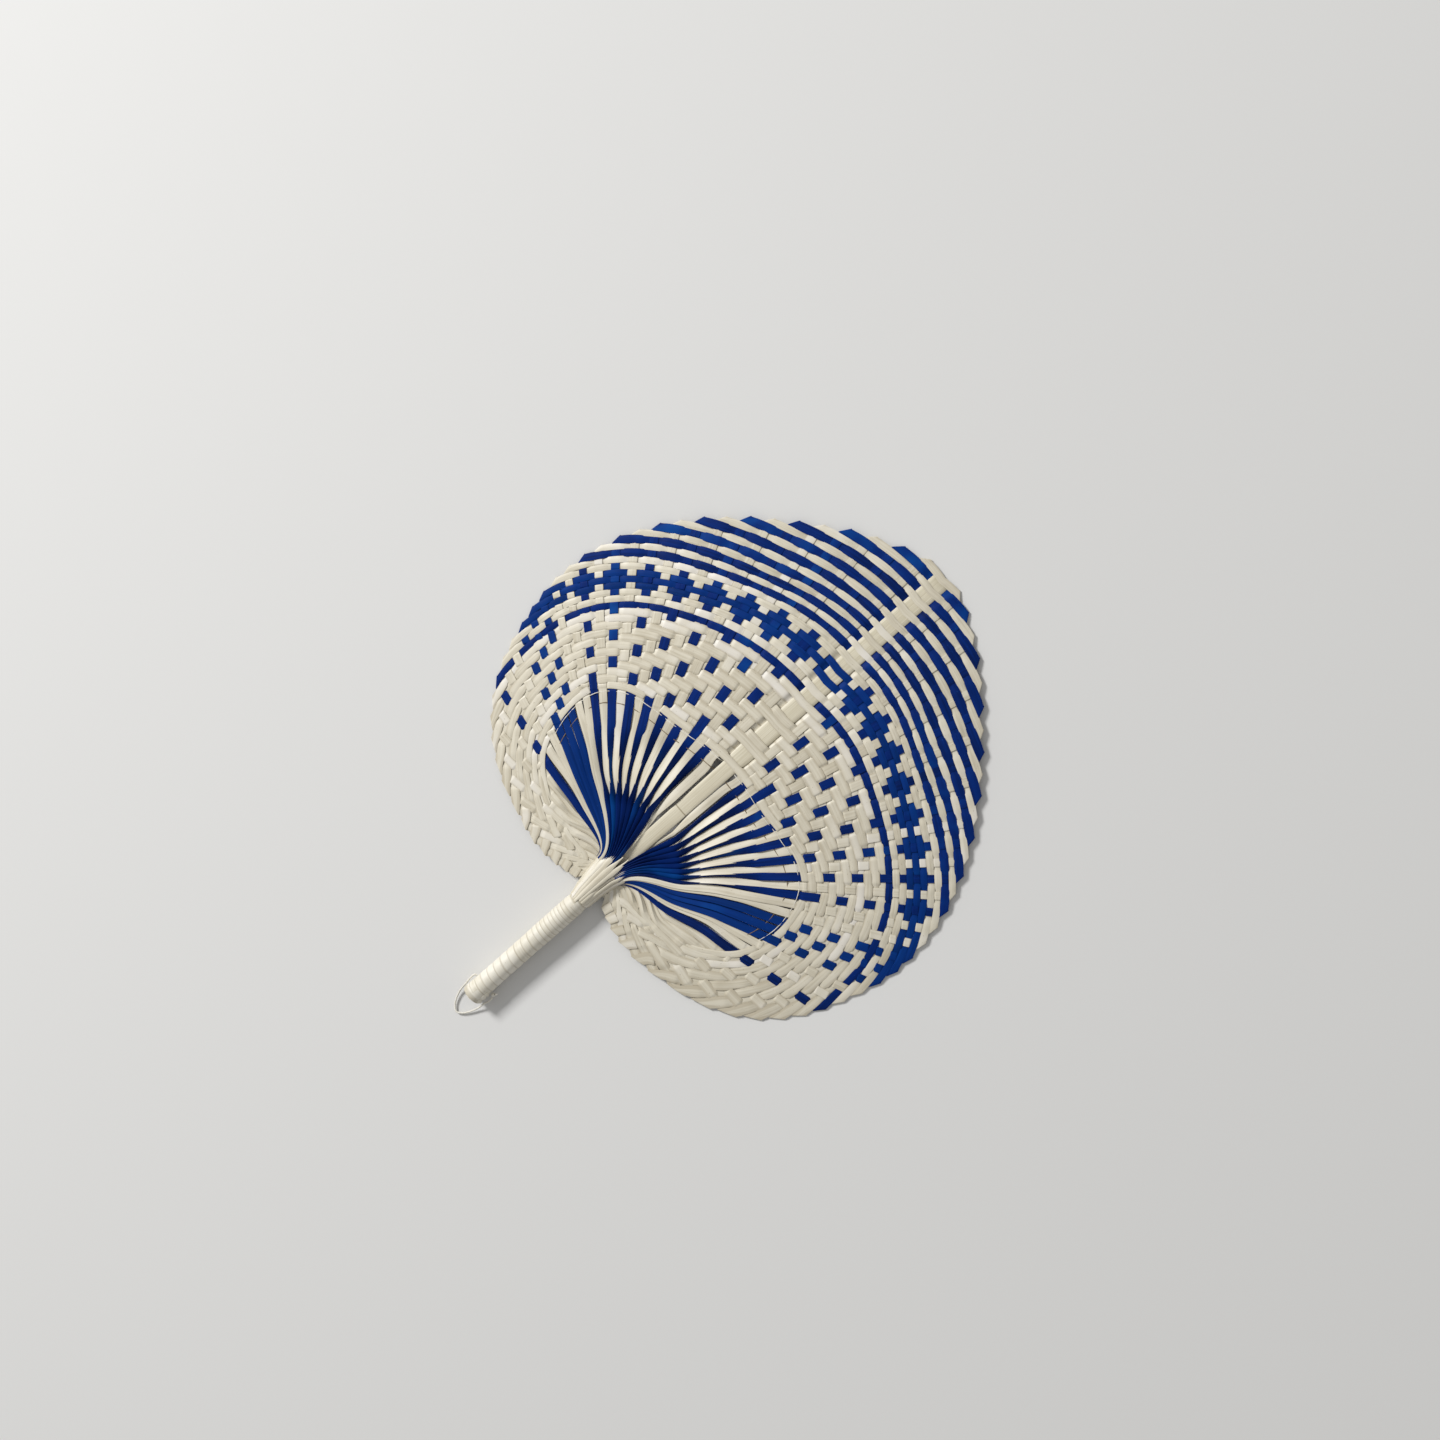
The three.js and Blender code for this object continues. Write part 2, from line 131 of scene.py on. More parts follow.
class Finish:
    """A material, made node by node around its shader."""

    def __init__(self, name):
        self.material = bpy.data.materials.new(name)
        self.material.use_nodes = True
        self.nodes = self.material.node_tree.nodes
        self.shader = self.nodes["Principled BSDF"]

    def feed(self, socket, value):
        if isinstance(value, Value):
            self.material.node_tree.links.new(value.socket, socket)
        elif isinstance(value, tuple) and socket.type == "RGBA":
            socket.default_value = (*value, 1)
        else:
            socket.default_value = value

    def add(self, kind, settings, sockets, output=0):
        node = self.nodes.new(f"ShaderNode{kind}")
        for setting, value in settings.items():
            setattr(node, setting, value)
        for socket, value in sockets.items():
            self.feed(node.inputs[socket], value)
        return Value(self, node.outputs[output])

    def run(self):
        """Place along and across the piece, in metres."""
        place = self.add("UVMap", {"uv_map": "run"}, {})
        return [self.add("SeparateXYZ", {}, {0: place}, k) for k in (0, 1)]

    def cloud(self, x, y, z=0.0, detail=2.0, roughness=0.5):
        """Soft noise whose grain is one unit of these coordinates."""
        place = self.add("CombineXYZ", {}, {0: x, 1: y, 2: z})
        return self.add("TexNoise", {}, {
            "Vector": place, "Scale": 1.0, "Detail": detail, "Roughness": roughness})

    def mix(self, share, first, second):
        return self.add("Mix", {"data_type": "RGBA"}, {0: share, 6: first, 7: second}, 2)

    def bump(self, height, depth, strength=1.0):
        return self.add("Bump", {}, {
            "Strength": strength, "Distance": depth, "Height": height})

    def surface(self, specular=0.5, **sockets):
        self.shader.inputs["Specular IOR Level"].default_value = specular
        for socket, value in sockets.items():
            self.feed(self.shader.inputs[socket.replace("_", " ").title()], value)
        return self.material


# The floor's paint is plain, with the faintest mottle.
floor_finish = Finish("floor")
place = floor_finish.add("TexCoord", {}, {}, 3)
mottle = floor_finish.add("TexNoise", {}, {"Vector": place, "Scale": 40.0})
floor_finish.surface(base_color=floor_colour, roughness=mottle * 0.1 + 0.85)
bm = bmesh.new()
bmesh.ops.create_grid(bm, x_segments=1, y_segments=1, size=floor_size / 2)
floor_mesh = bpy.data.meshes.new("floor")
bm.to_mesh(floor_mesh)
bm.free()
floor_mesh.materials.append(floor_finish.material)
floor = hung("floor", floor_mesh)

world = bpy.data.worlds.new("sky")
world.use_nodes = True
sky = world.node_tree.nodes["Background"].inputs
sky["Color"].default_value = (1, 1, 1, 1)
sky["Strength"].default_value = sky_strength
bpy.context.scene.world = world

lamp_data = bpy.data.lights.new("window", "AREA")
lamp_data.size = lamp_size
lamp_data.energy = lamp_power
lamp = hung("window", lamp_data)
lamp.location = (camera_right * lamp_offset[0] + camera_up * lamp_offset[1]
                 + Vector((0, 0, lamp_offset[2])))
lamp.rotation_euler = (-lamp.location).to_track_quat("-Z", "Y").to_euler()


# Spine: a slat split from a bamboo stem and planed flat, widest where the plaiting starts and
# thinned to nothing at its rounded tip. The gathered strips hold its lower end in the handle.
weave_reach = 0.0916
dome_centre = 0.099
dome_radius = 0.15
blade_half = 0.00065
winding_radius = 0.00635
splint_tip = 0.248
splint_widths = [(0, 0.008), (weave_reach, 0.0095), (weave_reach + 0.008, 0.011)]
splint_thickness = 0.0016
splint_tip_thickness = 0.0005
splint_face = -0.00015
splint_crown = 0.00014
splint_corner = 0.00028
splint_tip_round = 0.0035
splint_node_place = 0.0515
splint_node_swell = 0.00022
splint_node_length = 0.0011
splint_tip_half = 0.0002
splint_row = 0.002
dome_curve = (winding_radius - blade_half) / (dome_radius ** 2 - dome_centre ** 2)


def clamp(value, low=0.0, high=1.0):
    return max(low, min(high, value))


def smooth(share):
    share = clamp(share)
    return share * share * (3 - 2 * share)


def blend(first, second, share):
    return first + (second - first) * share


def chance_at(x, y, z):
    """Even noise, the same at every run."""
    return noise.noise(Vector((x, y, z)))


def curve(p, u, q, w, t):
    """A share of the way from p, heading along u, to q, heading along w."""
    return (p * (2 * t ** 3 - 3 * t ** 2 + 1) + u * (t ** 3 - 2 * t ** 2 + t)
            + q * (3 * t ** 2 - 2 * t ** 3) + w * (t ** 3 - t ** 2))


def heading_at(points, k):
    return (points[min(k + 1, len(points) - 1)] - points[max(k - 1, 0)]).normalized()


def table_at(table, place):
    """The value at a place, on straight lines through a table of places and values."""
    for (a, first), (b, second) in zip(table, table[1:]):
        if place < b:
            return blend(first, second, clamp((place - a) / (b - a)))
    return table[-1][1]


def dome_height(x, y):
    """Height of the blade's middle surface, a very flat dish."""
    return dome_curve * (dome_centre ** 2 - x ** 2 - (y - dome_centre) ** 2)


def splint_size(y):
    """Half width and thickness of the splint."""
    thick = blend(splint_thickness, splint_tip_thickness, clamp(y / splint_tip))
    return table_at(splint_widths, y) / 2, thick


def laid_grid(bm, sections):
    """Bends a flat grid into a skin. Each section lists its points as (place, (along, across))
    and ends with its first one again."""
    along, across = len(sections) - 1, len(sections[0]) - 1
    run = bm.loops.layers.uv.get("run") or bm.loops.layers.uv.new("run")
    grid = bmesh.ops.create_grid(bm, x_segments=along, y_segments=across, size=0.5)
    spot = {}
    for v in grid["verts"]:
        i, j = round((v.co.x + 0.5) * along), round((v.co.y + 0.5) * across)
        spot[v] = sections[i][j][1]
        v.co = throat + sections[i][j][0]
    faces = {face for v in grid["verts"] for face in v.link_faces}
    for face in faces:
        for loop in face.loops:
            loop[run].uv = spot[loop.vert]
    bmesh.ops.remove_doubles(bm, verts=grid["verts"], dist=1e-7)
    ends = {edge for face in faces if face.is_valid for edge in face.edges if edge.is_boundary}
    for cap in bmesh.ops.holes_fill(bm, edges=list(ends))["faces"]:
        for loop in cap.loops:
            loop[run].uv = next(other[run].uv for other in loop.vert.link_loops
                                if other.face is not cap)


def skinned(name, skins, finish, sharp=40):
    """A piece of one or more skins, its faces turned outwards, hung in the scene."""
    bm = bmesh.new()
    for sections in skins:
        laid_grid(bm, sections)
    bmesh.ops.dissolve_degenerate(bm, edges=bm.edges, dist=1e-8)
    bmesh.ops.recalc_face_normals(bm, faces=bm.faces)
    for face in bm.faces:
        face.smooth = True
    for edge in bm.edges:
        edge.smooth = edge.calc_face_angle(0) < math.radians(sharp)
    mesh = bpy.data.meshes.new(name)
    bm.to_mesh(mesh)
    bm.free()
    piece = hung(name, mesh)
    mesh.materials.append(finish)
    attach(piece, "root")
    return piece


def splint_section(y):
    half, thick = splint_size(y)
    if y > splint_tip - splint_tip_round:
        half *= math.sqrt(clamp(1 - (1 - (splint_tip - y) / splint_tip_round) ** 2))
    half = max(half, splint_tip_half)
    face = dome_height(0, max(y, 0)) + splint_face
    node = splint_node_swell * math.exp(-((y - splint_node_place) / splint_node_length) ** 2)
    corner = min(splint_corner, half / 2)
    outline = [(-half, -corner), (-half + corner, -corner * 0.2)]
    outline += [(half * v, (splint_crown + node) * (1 - v * v)) for v in (-0.6, 0, 0.6)]
    outline += [(half - corner, -corner * 0.2), (half, -corner)]
    outline += [(half, -thick), (0, -thick), (-half, -thick), (-half, -corner)]
    return [(Vector((x, y, face + z)), (y, x)) for x, z in outline]


bamboo = Finish("split_bamboo")
along, across = bamboo.run()
fibres = bamboo.cloud(along * 45, across * 5200, detail=3.0)
bundles = bamboo.cloud(along * 14, across * 1500, detail=2.0)
stain = bamboo.cloud(along * 30, across * 90, detail=2.0)
ring = 1 - abs(along - splint_node_place - bundles * 0.0004).between(0.0001, 0.0006)
# The splint's colour darkens towards its rounded tip.
darker_tip = along.between(0.238, 0.246)
wood = bamboo.mix((fibres * 0.6 + bundles * 0.5 + stain * 0.3).between(0.45, 1.0),
                  (0.55, 0.49, 0.35), (0.76, 0.71, 0.57))
wood = bamboo.mix(darker_tip * 0.4, wood, (0.36, 0.31, 0.2))
bamboo.surface(
    base_color=bamboo.mix(ring * 0.75, wood, (0.24, 0.19, 0.11)),
    roughness=fibres * 0.2 + 0.36,
    normal=bamboo.bump(fibres * 0.6 + bundles, 0.00006, 0.8))

row_count = round((splint_tip - splint_tip_round - butt_y) / splint_row)
rows = [butt_y, butt_y + splint_row / 5]
rows += [butt_y + splint_row * k for k in range(1, row_count)]
rows += [splint_tip - splint_tip_round * math.cos(math.pi / 2 * k / 8) for k in range(9)]
spine_slat = skinned("spine_slat", [[splint_section(y) for y in sorted(rows)]],
                     bamboo.material, sharp=50)
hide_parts("bamboo_splint")


# Blade: thirty-six palm strips, twelve of them dyed blue, each one unbroken from the throat to the
# left rim, across the blade, over the right rim and back to the throat. They are plaited by hand,
# folded at the rim and held by nothing but each other.
strip_count = 36
last_strip = strip_count - 1
blade_reach = 0.2505
strip_width = 0.005
strip_thickness = 0.00036
strip_crown = 0.00012
warp_gap = -0.00014
dyed_row_share = 1.22
plain_row_share = 0.92
dyed_row_lift = 0.00015
striped_rows = 16
weft_gap = 0.00005
spine_clearance = 0.008
loosened_strips = 16
tangent_share = 0.05
fold_reach_shares = [1, 0.949, 0.885, 0.834, 0.788, 0.738, 0.676, 0.598, 0.526, 0.445, 0.353,
                     0.267, 0.21, 0.161, 0.123, 0.099, 0.09]
weave_reach_shares = [1, 1.004, 1.02, 1.08, 1.15, 1.168, 1.103, 0.993, 0.868, 0.66, 0.431, 0.273,
                      0.213, 0.218, 0.25, 0.28, 0.29]
profile_span = 160
even_fan = 3.2
last_strip_angle = 148
fan_power = 5
weave_rise = 0.0003  # of a strip's middle above or below the blade's middle surface
row_height = 0.00035  # the same for the free inner ends and the threads between them
warp_climb = 0.24  # share of a row in which a spreading run climbs over the next one
# A run is this much broader where it shows and narrower where it dips, less in the inner rows.
outer_swell = 0.08
inner_swell = 0.03
swell_change = 12
cell_slope = 0.0003
fold_steps = 8
fold_least_window = 0.008
twill_row = 24
twill_grip = 0.0006
twill_delay = 0.2  # of a row, by which a spreading run comes up later and dips sooner
# Shares of a row at which a spreading run has its cross-sections.
plain_steps = (0.2, 0.38, 0.44, 0.5, 0.56, 0.62, 0.8, 1.0)
twill_steps = (0.08, 0.2, 0.32, 0.5, 0.68, 0.8, 0.92, 1.0)
dyed_strips = (1, 3, 5, 7, 9, 11, 13, 15, 18, 19, 20, 23)
fan_growth = (last_strip_angle - even_fan * strip_count) / strip_count ** fan_power
# Points across a strip, from its throat side edge to its tip side edge.
across_shares = (-1, -0.6, 0, 0.6, 1)
upright = Vector((0, 0, 1))


def share_at(shares, angle):
    """A share at an angle from the tip, on a smooth curve through an even table."""
    last = len(shares) - 1
    place = clamp(angle / profile_span) * last
    i = min(int(place), last - 1)
    before, here, ahead, after = [shares[int(clamp(n, 0, last))] for n in range(i - 1, i + 3)]
    return curve(here, (ahead - before) / 2, ahead, (after - here) / 2, place - i)


def fan_angle(strip):
    return even_fan * (strip + 1) + fan_growth * (strip + 1) ** fan_power


def fold_reach(strip):
    return blade_reach * share_at(fold_reach_shares, fan_angle(strip))


def inner_reach(strip):
    return weave_reach * share_at(weave_reach_shares, fan_angle(strip))


def crossing_pitch(strip):
    inside = min(strip, last_strip - 1.5)
    return (fold_reach(inside) - inner_reach(inside)) / (last_strip - inside)


def crossing_reach(crossing, strip):
    return fold_reach(strip) - crossing_pitch(strip) * (crossing - strip)


def on_strip(strip, reach):
    fade = strip + 1 if strip < 0 else max(0, 1 - (strip / loosened_strips) ** 2)
    push = spine_clearance * max(0, 1 - reach / fold_reach(strip)) * fade / reach
    angle = math.radians(fan_angle(strip)) + push
    return Vector((reach * math.sin(angle), reach * math.cos(angle)))


def crossing_point(crossing, strip):
    return on_strip(strip, crossing_reach(crossing, strip))


def turned(v):
    """A quarter turn clockwise, seen from the front of the fan."""
    return Vector((v.y, -v.x))


def meet(p, u, q, w):
    d = q - p
    return p + u * (d.cross(w) / u.cross(w))


def warp_is_over(warp, weft):
    """Plain plaiting outside, a two and two twill within it, and long floats on the last strip."""
    if weft == last_strip:
        return warp % 6 in (2, 3)
    if weft >= twill_row:
        return (weft - warp) % 4 in (2, 3)
    return (warp + weft) % 2 == 0


def warp_half_width(strip, reach):
    here = on_strip(strip, reach)
    outer = (here - on_strip(strip + 1, reach)).length
    inner = (here - on_strip(strip - 1, reach)).length if strip else outer
    return min(strip_width, min(outer, inner) - warp_gap) / 2


def weft_frame(crossing, strip):
    point = crossing_point(crossing, strip)
    before = crossing_point(crossing, strip if strip < 0 else strip - tangent_share)
    along = (crossing_point(crossing, strip + tangent_share) - before).normalized()
    if strip < 0:
        along = along.lerp(Vector((1, 0)), -strip).normalized()
    outward = -turned(along)
    pitch = crossing_pitch(strip) * abs(outward.dot(point.normalized()))
    width = pitch - weft_gap
    if crossing < striped_rows:
        width = pitch * (dyed_row_share if round(crossing) in dyed_strips else plain_row_share)
    return point, along, outward, min(strip_width, width) / 2


def swell_share(strip):
    return blend(outer_swell, inner_swell, smooth((strip - swell_change) / 5))


def weft_steps(weft, warp):
    """Shares of the way to the next spreading run at which a crossing run clears the two."""
    reach = (crossing_point(weft, warp + 1) - crossing_point(weft, warp)).length
    first = (splint_size(crossing_reach(weft, -1))[0] if warp < 0 else strip_width / 2) / reach
    second = min(0.45, strip_width / 2 / reach)
    return min(first, 0.9 - second), second


def weft_rise(weft, place):
    """Height of a crossing run above the blade's middle surface."""
    height = crossing_reach(weft, -1)

    def rise_at(warp):
        if warp >= weft or not warp_is_over(warp, weft):
            return weave_rise
        if warp >= 0:
            return -weave_rise
        return splint_face - splint_size(height)[1] - weave_rise

    here = math.floor(place)
    first, second = weft_steps(weft, here)
    return blend(rise_at(here), rise_at(here + 1),
                 smooth((place - here - first) / (1 - first - second)))


def weft_swell(weft, place):
    """A crossing run is broad where it shows, over another strip, and narrow where it dips."""
    def swell_at(warp):
        return -1 if 0 <= warp < weft and warp_is_over(warp, weft) else 1

    here = math.floor(place)
    return 1 + swell_share(weft) * blend(swell_at(here), swell_at(here + 1), smooth(place - here))


def weft_grip(weft, place, neighbour):
    """In the twill a crossing run reaches over the next row where that one dips under a strip."""
    warp = round(place)
    if weft < twill_row or neighbour > last_strip or not 0 <= warp < min(weft, neighbour):
        return 0
    if warp_is_over(warp, weft) or not warp_is_over(warp, neighbour):
        return 0
    return twill_grip * smooth((0.5 - abs(place - warp)) / 0.1)


def weft_places(weft):
    """Places of a crossing run's sections, close together where it passes over an edge."""
    places = []
    for warp in range(-1, weft):
        first, second = weft_steps(weft, warp)
        step = 1 - first - second
        places += [warp, warp + first * 0.6, warp + first]
        places += [warp + first + step * t for t in (0.25, 0.5, 0.75)]
        places += [warp + 1 - second, warp + 1 - second * 0.5]
    return places


def cell_tilt(warp, weft, side, off):
    """Slope of one cell of the plaiting, as a rise at its edge, less away from its middle."""
    slope = chance_at(warp * 1.73 + side * 41, weft * 2.31, 0.5) * cell_slope
    return slope * (1 - abs(off) * 1.6)


def run_middle(point, along, outward, halves, rise, tilt, shear, lean):
    """The middle line across a run, crowned and tilted, and sheared to the crease by a fold."""
    middle = []
    for v in across_shares:
        spot = point + outward * halves[v > 0] * v + along * shear * (lean[0] + lean[1] * v)
        height = dome_height(*spot) + rise + strip_crown * (1 - v * v) + tilt * v
        middle.append(Vector((spot.x, spot.y, height)))
    return middle


def weft_station(weft, place, side, shear, lean):
    """A cross-section of a crossing run: its middle line and the way its face looks."""
    point, along, outward, half = weft_frame(weft, place)
    rise = weft_rise(weft, place)
    half *= blend(weft_swell(weft, place), 1, shear)
    if weft < striped_rows and weft in dyed_strips:
        rise += dyed_row_lift * (1 - shear)
    tilt = cell_tilt(round(place), weft, side, place - round(place))
    halves = [half + weft_grip(weft, place, weft + way) * (1 - shear) for way in (1, -1)]
    return run_middle(point, along, outward, halves, rise, tilt, shear, lean), upright


def warp_station(warp, crossing, side, shear, lean):
    """The same for a spreading run."""
    reach = crossing_reach(crossing, warp)
    point = on_strip(warp, reach)
    along = point.normalized()

    def rise_at(weft):
        if weft > last_strip:
            return 0
        return weave_rise if weft > warp and warp_is_over(warp, weft) else -weave_rise

    here = math.floor(crossing)
    past = crossing - here
    first, second = rise_at(here), rise_at(here + 1)
    swell = blend(first, second, smooth(past)) / weave_rise
    half = warp_half_width(warp, reach) * (1 + swell_share(crossing) * swell * (1 - shear) * 0.6)
    delay = math.copysign(twill_delay, second - first) if here >= twill_row else 0
    rise = blend(first, second, smooth((past - 0.5 + warp_climb / 2 - delay) / warp_climb))
    tilt = cell_tilt(warp + 100, round(crossing), side, crossing - round(crossing))
    outward = -turned(along)
    return run_middle(point, along, outward, (half, half), rise, tilt, shear, lean), -upright


def fold_lean(point, along, heel, toe):
    """How far along a run its two edges reach past a point to the crease, as a slope across, and
    how far from the fold the run begins to lean."""
    low, high = (heel - point).dot(along), (toe - point).dot(along)
    lean = (low + high) / 2, (high - low) / 2
    return lean, max(fold_least_window, 2.5 * (abs(lean[0]) + abs(lean[1])))


# Inner ends of the strips. By the spine they close in on the throat like the pleats of a bellows,
# the natural ones nearly flat and the blue ones on edge between them, and nearer in the blue ones
# lie on top. The next eight lie like shingles, and those of the lobes curve down to the handle.
first_shingle = 16
first_lobe = 24
dive_reach = 0.04
natural_shows = [(0.01, 0.0005), (0.03, 0.0006), (0.037, 0.001), (0.043, 0.0022), (0.05, 0.0034),
                 (0.06, 0.0042), (0.075, 0.0047), (0.086, 0.005)]
blue_shows = [(0.008, 0.0014), (0.015, 0.0018), (0.025, 0.0028), (0.036, 0.0036), (0.042, 0.003),
              (0.048, 0.002), (0.054, 0.0018), (0.06, 0.0022), (0.072, 0.0037), (0.084, 0.005)]
pleat_lift = 0.0008
pleat_from, pleat_over = 0.078, 0.02
dive_lift = 0.0012
dive_from, dive_over = 0.055, 0.017
layer_top = 0.0009
layer_step = 0.00024
lobe_drop = 0.0009
row_over, layer_over, bunch_over = 0.01, 0.02, 0.03
shingle_lean, lobe_lean, first_lean, loose_lean = 17, 26, 22, 4  # in degrees
show_change = 0.14
spine_hug, hug_over = 0.0016, 0.009
gathered_width, free_width = 0.62, 0.98
gathered_over = 0.07
under_width = 0.4
under_from, under_over = 0.032, 0.024
free_step = 0.0025
bend_steps = 24
lobe_arch_share = 0.1
lobe_arch_most = 0.004
lobe_pull = 1.2
lobe_curl, lobe_curl_over = 0.0015, 0.009
plain_curl, plain_curl_over = 0.0003, 0.03
lobe_gathered = 0.95
lobe_gathered_from, lobe_gathered_over = 0.006, 0.012
# How far each shingled strip is gathered towards the next one inwards, in strips.
bunched = (0, -0.5, -0.33, -0.17, 0, -0.4, -0.8, -0.25)
# Places at which the strips enter the sheath, which opens wider on the left: of the first strip of
# a group and of its last, on the left and on the right.
natural_entries = {-1: ((0.002208, -0.003, -0.0036), (0.00828, -0.003, -0.002)),
                   1: ((0.002048, -0.003, -0.0036), (0.00768, -0.003, -0.002))}
blue_entries = {-1: ((0.001656, -0.003, 0.0034), (0.007728, -0.003, 0.0024)),
                1: ((0.001536, -0.003, 0.0034), (0.007168, -0.003, 0.0024))}
shingle_entries = {-1: ((0.00828, -0.003, 0.003), (0.010902, -0.003, 0.0003)),
                   1: ((0.0054, -0.008, 0.0024), (0.0064, -0.008, 0.00024))}
lobe_entries = {-1: ((0.0078, -0.003, -0.0014), (0.0062, -0.017, -0.003)),
                1: ((0.0072, -0.003, -0.0014), (0.0062, -0.017, -0.003))}


def throat_anchor(strip, side):
    """Where a strip enters the sheath."""
    if strip >= first_lobe:
        entries, share = lobe_entries, (strip - first_lobe) / (last_strip - first_lobe)
    elif strip >= first_shingle:
        entries = shingle_entries
        share = (strip - first_shingle) / (first_lobe - 1 - first_shingle)
    else:
        entries = blue_entries if strip in dyed_strips else natural_entries
        share = strip / (first_shingle - 1)
    return Vector([blend(a, b, share) for a, b in zip(*entries[side])])


def inner_roll(strip, reach, half, side, start):
    """Angle at which a strip stands on edge, positive with its spine side up."""
    jitter = chance_at(strip * 3.7, side * 9.1, 2.2)
    if strip >= first_shingle:
        lean = lobe_lean if strip >= first_lobe else shingle_lean
        return (math.radians(loose_lean) * jitter
                - math.radians(lean) * smooth(2 - 2 * reach / start))
    if strip == 0:
        return -side * math.radians(first_lean) * smooth((0.07 - reach) / 0.03)
    dyed = strip in dyed_strips
    shows = table_at(blue_shows if dyed else natural_shows, reach) * (1 + show_change * jitter)
    return math.acos(clamp(shows / half / 2)) * side * (1 if dyed else -1)


def inner_path(strip, start, side):
    """Middle line of the free run of a strip from the weave's inner edge into the sheath."""
    turn_in = min(dive_reach, start - 0.002)
    row = row_height if strip % 2 else -row_height
    steps = max(1, round((start - turn_in) / free_step))
    points = []
    bunch = bunched[strip - first_shingle] if first_shingle <= strip < first_lobe else 0
    for k in range(1, steps + 1):
        reach = blend(start, turn_in, k / steps)
        spot = on_strip(strip + bunch * smooth((start - reach) / bunch_over), reach)
        lift = row * smooth((start - reach) / row_over)
        if strip >= first_shingle:
            layer = layer_top - layer_step * (strip - first_shingle)
            layer -= lobe_drop if strip >= first_lobe else 0
            lift = blend(lift, layer, smooth((start - reach) / layer_over))
        else:
            way = 1 if strip in dyed_strips else -1
            lift = blend(lift, -way * pleat_lift, smooth((pleat_from - reach) / pleat_over))
            lift = blend(lift, way * dive_lift, smooth((dive_from - reach) / dive_over))
        if strip == 0:
            spot.x -= spine_hug * smooth((start - reach) / hug_over)
        points.append(Vector((spot.x, spot.y, dome_height(*spot) + lift)))
    leave = points[-1]
    heading = Vector((*(-on_strip(strip + bunch, turn_in).normalized()), 0))
    anchor = throat_anchor(strip, side)
    pull = (anchor - leave).length * (1 if strip < first_lobe else lobe_pull)
    for k in range(1, bend_steps + 1):
        t = k / bend_steps
        point = curve(leave, heading * pull, anchor, Vector((0, -pull, 0)), t)
        if strip >= first_lobe:
            arch = min(lobe_arch_most, lobe_arch_share * (anchor - leave).length)
            point.y += arch * math.sin(math.pi * t ** 0.8) ** 2
        points.append(point)
    return points


def inner_stations(strip, start, side):
    points = inner_path(strip, start, side)
    lobe = strip >= first_lobe
    stations = []
    for k, point in enumerate(points):
        heading = heading_at(points, k)
        reach = math.hypot(point.x, point.y)
        flat_side = turned(Vector((heading.x, heading.y)).normalized()).to_3d()
        above = heading.cross(flat_side).normalized()
        above *= 1 if above.z > 0 else -1
        gathered, out = gathered_width, reach / gathered_over
        if lobe:
            gathered, out = lobe_gathered, (reach - lobe_gathered_from) / lobe_gathered_over
        half = strip_width / 2 * blend(gathered, free_width, smooth(out))
        if strip < first_shingle and strip not in dyed_strips:
            half *= blend(under_width, 1, smooth((reach - under_from) / under_over))
        roll = inner_roll(strip, reach, half, side, start)
        lateral = flat_side * math.cos(roll) + above * math.sin(roll)
        face = above * math.cos(roll) - flat_side * math.sin(roll)
        curl, over = (lobe_curl, lobe_curl_over) if lobe else (plain_curl, plain_curl_over)
        curl = strip_crown + curl * smooth((start - reach) / over)
        middle = [point + lateral * half * v + face * curl * (1 - v * v) for v in across_shares]
        stations.append((middle, -face))
    return stations


def strip_half(strip, side):
    """Cross-sections of half a strip, from the spine to the rim and back to the throat."""
    weft_point, weft_along, outward, weft_half = weft_frame(strip, strip)
    warp_point = on_strip(strip, fold_reach(strip))
    warp_along = warp_point.normalized()
    away = turned(warp_along)
    warp_half = warp_half_width(strip, fold_reach(strip))
    heel, toe = [meet(warp_point + away * warp_half * end, warp_along,
                      weft_point - outward * weft_half * end, weft_along) for end in (1, -1)]
    lean, window = fold_lean(weft_point, weft_along, heel, toe)
    stations = []
    for place in weft_places(strip):
        left = (crossing_point(strip, strip) - crossing_point(strip, place)).length
        stations.append(weft_station(strip, place, side, smooth(1 - left / window), lean))
    outside = turned((toe - heel).normalized())
    outside = (outside if outside.dot(warp_point) > 0 else -outside).to_3d()
    for k in range(fold_steps + 1):
        turn = math.pi * k / fold_steps
        middle = []
        for v in across_shares:
            spot = heel.lerp(toe, (v + 1) / 2)
            height = dome_height(*spot) + math.cos(turn) * weave_rise
            middle.append(Vector((*spot, height)) + outside * math.sin(turn) * weave_rise)
        stations.append((middle, outside * math.sin(turn) + upright * math.cos(turn)))
    lean, window = fold_lean(warp_point, warp_along, heel, toe)
    pitch = crossing_pitch(strip)
    for crossing in range(strip, strip_count):
        for share in twill_steps if crossing >= twill_row else plain_steps:
            shear = smooth(1 - pitch * (crossing + share - strip) / window)
            stations.append(warp_station(strip, crossing + share, side, shear, lean))
    stations += inner_stations(strip, fold_reach(strip) - pitch * (strip_count - strip), side)
    return [([settled(point, side) for point in middle], Vector((face.x * side, face.y, face.z)))
            for middle, face in stations]


# The plaiting isn't quite even: the strips sit a few degrees round the rim from where an even fan
# would have them, more so on the right, and the middle rows have slipped towards the rim.
left_swing = [0, 1.1, 1.8, 2.6, 3.2, 3.4, 2.4, 1.4, 1.3, 0.8, 0.3, *[0] * 6]
right_swing = [0, -1, -1.5, -2, -2.4, -3.4, -4.2, -4.9, -5.8, -6, -5.4, -4.2, -2.8, -1.3, 0, 0, 0]
row_slip = [0.004, 0.0055, 0.0063, 0.0035, 0.0012, *[0] * 12]
settled_from, settled_over = 0.03, 0.03
unevenness = 0.0004


